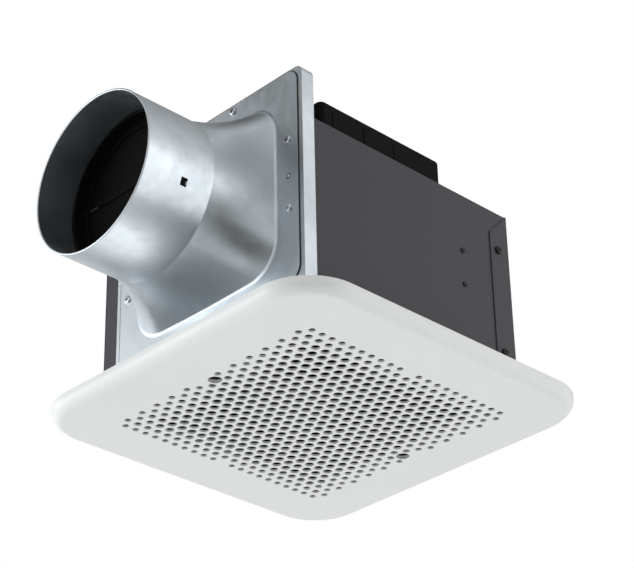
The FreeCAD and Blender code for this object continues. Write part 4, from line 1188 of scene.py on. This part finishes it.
@dataclass
class Studio:
    """Floor, world, lamps, cards and camera."""

    floor_level: float = -2.6
    floor_half: float = 12.0
    aim: tuple[float, float, float] = (-0.03, 0.0, 0.09)
    camera_place: tuple[float, float, float] = (-1.1616, -1.1905, -0.8294)
    camera_azimuth: float = -44.52
    camera_elevation: float = -29.75
    camera_roll: float = -1.25
    camera_lens: float = 121.19
    camera_sensor: float = 36.0
    camera_reach: float = 100.0
    ambient: float = 0.42
    floor_glow: float = 0.40
    floor_tone: float = 0.90
    lamps: tuple[Lamp, ...] = (
        Lamp("left_soft", (-1.75, 1.75, -0.15), 2.2, 52.0, (0.97, 0.99, 1.0)),
        Lamp("right_soft", (1.60, -1.90, -0.15), 2.8, 33.0),
        Lamp("under_soft", (0.6, 0.6, -2.2), 2.2, 18.5),
        Lamp("rim_soft", (-0.9, -1.0, 1.2), 1.0, 5.0, mirrored=False),
        Lamp("front_fill", (-1.35, -1.35, -0.9), 0.7, 5.0, mirrored=False))
    cards: tuple[Card, ...] = (
        Card("camera_flag", (-1.75, -1.9, -0.85), 2.6, 0.12, True),
        Card("front_card", (-0.10, -2.2, -0.45), 1.5, 0.08),
        Card("upper_card", (0.1, -1.9, 1.9), 1.8, 0.42),
        Card("strip_card", (1.50, -1.74, 1.50), 0.9, 1.5),
        Card("top_card", (1.15, 0.05, 2.2), 1.4, 0.50),
        Card("overhead_card", (-0.05, 0.45, 2.5), 1.3, 0.04),
        Card("back_card", (1.5, 0.9, 1.6), 2.8, 0.30),
        Card("left_card", (-1.65, 1.05, 1.9), 1.85, 0.04),
        Card("low_card", (-0.15, 0.3, -2.3), 1.6, 0.70))

    def make_floor(self) -> None:
        """A plain pale floor that shows white and keeps the object's shadow."""
        bm = bmesh.new()
        bmesh.ops.create_grid(bm, x_segments=1, y_segments=1, size=self.floor_half)
        bmesh.ops.translate(bm, verts=bm.verts, vec=(0, 0, self.floor_level))
        floor = mesh_object("studio_floor", bm)
        graph = Graph("studio_floor")
        glow = graph.mix(graph.looked_at(), (0.0, 0.0, 0.0), (self.floor_glow,) * 3)
        graph.close(Base_Color=(self.floor_tone,) * 3, Roughness=0.9, Specular_IOR_Level=0.1,
                    Emission_Color=glow, Emission_Strength=1.0)
        floor.data.materials.append(graph.material)

    def make_world(self) -> None:
        """A white background, and softer light from it on the object."""
        world = bpy.data.worlds.new("studio")
        bpy.context.scene.world = world
        world.use_nodes = True
        tree = Tree(world.node_tree)
        back = tree.nodes["Background"]
        inputs = {"Value": tree.looked_at(), "To Min": self.ambient, "To Max": 1.0}
        tree.feed(back.inputs["Color"], (1.0, 1.0, 1.0))
        tree.feed(back.inputs["Strength"], tree.add("ShaderNodeMapRange", inputs=inputs))

    def make_lamps(self) -> None:
        """Soft square lamps."""
        for lamp in self.lamps:
            data = bpy.data.lights.new(lamp.name, "AREA")
            data.size = lamp.size
            data.energy = lamp.power
            data.color = lamp.colour
            light = scene_object(lamp.name, data)
            light.location = lamp.place
            light.visible_glossy = lamp.mirrored
            aim = Vector(self.aim) - Vector(lamp.place)
            light.rotation_euler = aim.to_track_quat("-Z", "Y").to_euler()

    def make_cards(self) -> None:
        """Dark, grey and bright cards round the object, out of the camera's sight."""
        for card in self.cards:
            bm = bmesh.new()
            bmesh.ops.create_grid(bm, x_segments=1, y_segments=1, size=card.size / 2)
            aim = Vector(self.aim) - Vector(card.place)
            turn = aim.to_track_quat("Z", "Y").to_matrix().to_4x4()
            bmesh.ops.transform(bm, matrix=Matrix.Translation(card.place) @ turn, verts=bm.verts)
            piece = mesh_object(card.name, bm)
            graph = Graph(card.name)
            graph.close(Base_Color=(0.0, 0.0, 0.0), Roughness=1.0, Specular_IOR_Level=0.0,
                        Emission_Color=(1.0, 1.0, 1.0), Emission_Strength=card.level)
            piece.data.materials.append(graph.material)
            piece.visible_camera = False
            piece.visible_transmission = False
            piece.visible_diffuse = card.flag
            piece.visible_shadow = card.flag

    def make_camera(self) -> None:
        """The camera, below and in front of the near corner."""
        azimuth = math.radians(self.camera_azimuth)
        elevation = math.radians(self.camera_elevation)
        back = Vector((math.sin(azimuth) * math.cos(elevation), -math.cos(azimuth) * math.cos(elevation),
                       math.sin(elevation)))
        right = Vector((math.cos(azimuth), math.sin(azimuth), 0.0))
        up = back.cross(right)
        turn = Matrix((right, up, back)).transposed().to_4x4()
        data = bpy.data.cameras.new("camera")
        data.lens = self.camera_lens
        data.sensor_width = self.camera_sensor
        data.clip_end = self.camera_reach
        camera = scene_object("camera", data)
        roll = Matrix.Rotation(math.radians(self.camera_roll), 4, "Z")
        camera.matrix_world = Matrix.Translation(self.camera_place) @ turn @ roll
        bpy.context.scene.camera = camera

    def build(self) -> None:
        """Sets the whole studio up."""
        bpy.context.scene.view_settings.view_transform = "Standard"
        self.make_floor()
        self.make_world()
        self.make_lamps()
        self.make_cards()
        self.make_camera()


def main() -> None:
    """Builds the studio and dresses the fan."""
    logging.basicConfig(level=logging.INFO, format="%(name)s: %(message)s")
    Studio().build()
    wardrobe = Wardrobe()
    FrameNodes(wardrobe).dress()
    adaptor = DuctAdaptor(wardrobe)
    adaptor.build()
    adaptor.hem_mouth()
    adaptor.lay_shadow_strip()
    adaptor.press_pips()
    grille = Grille(wardrobe)
    grille.make_pan()
    grille.make_fittings()
    grille.shade_rib()


if __name__ == "__main__":
    main()
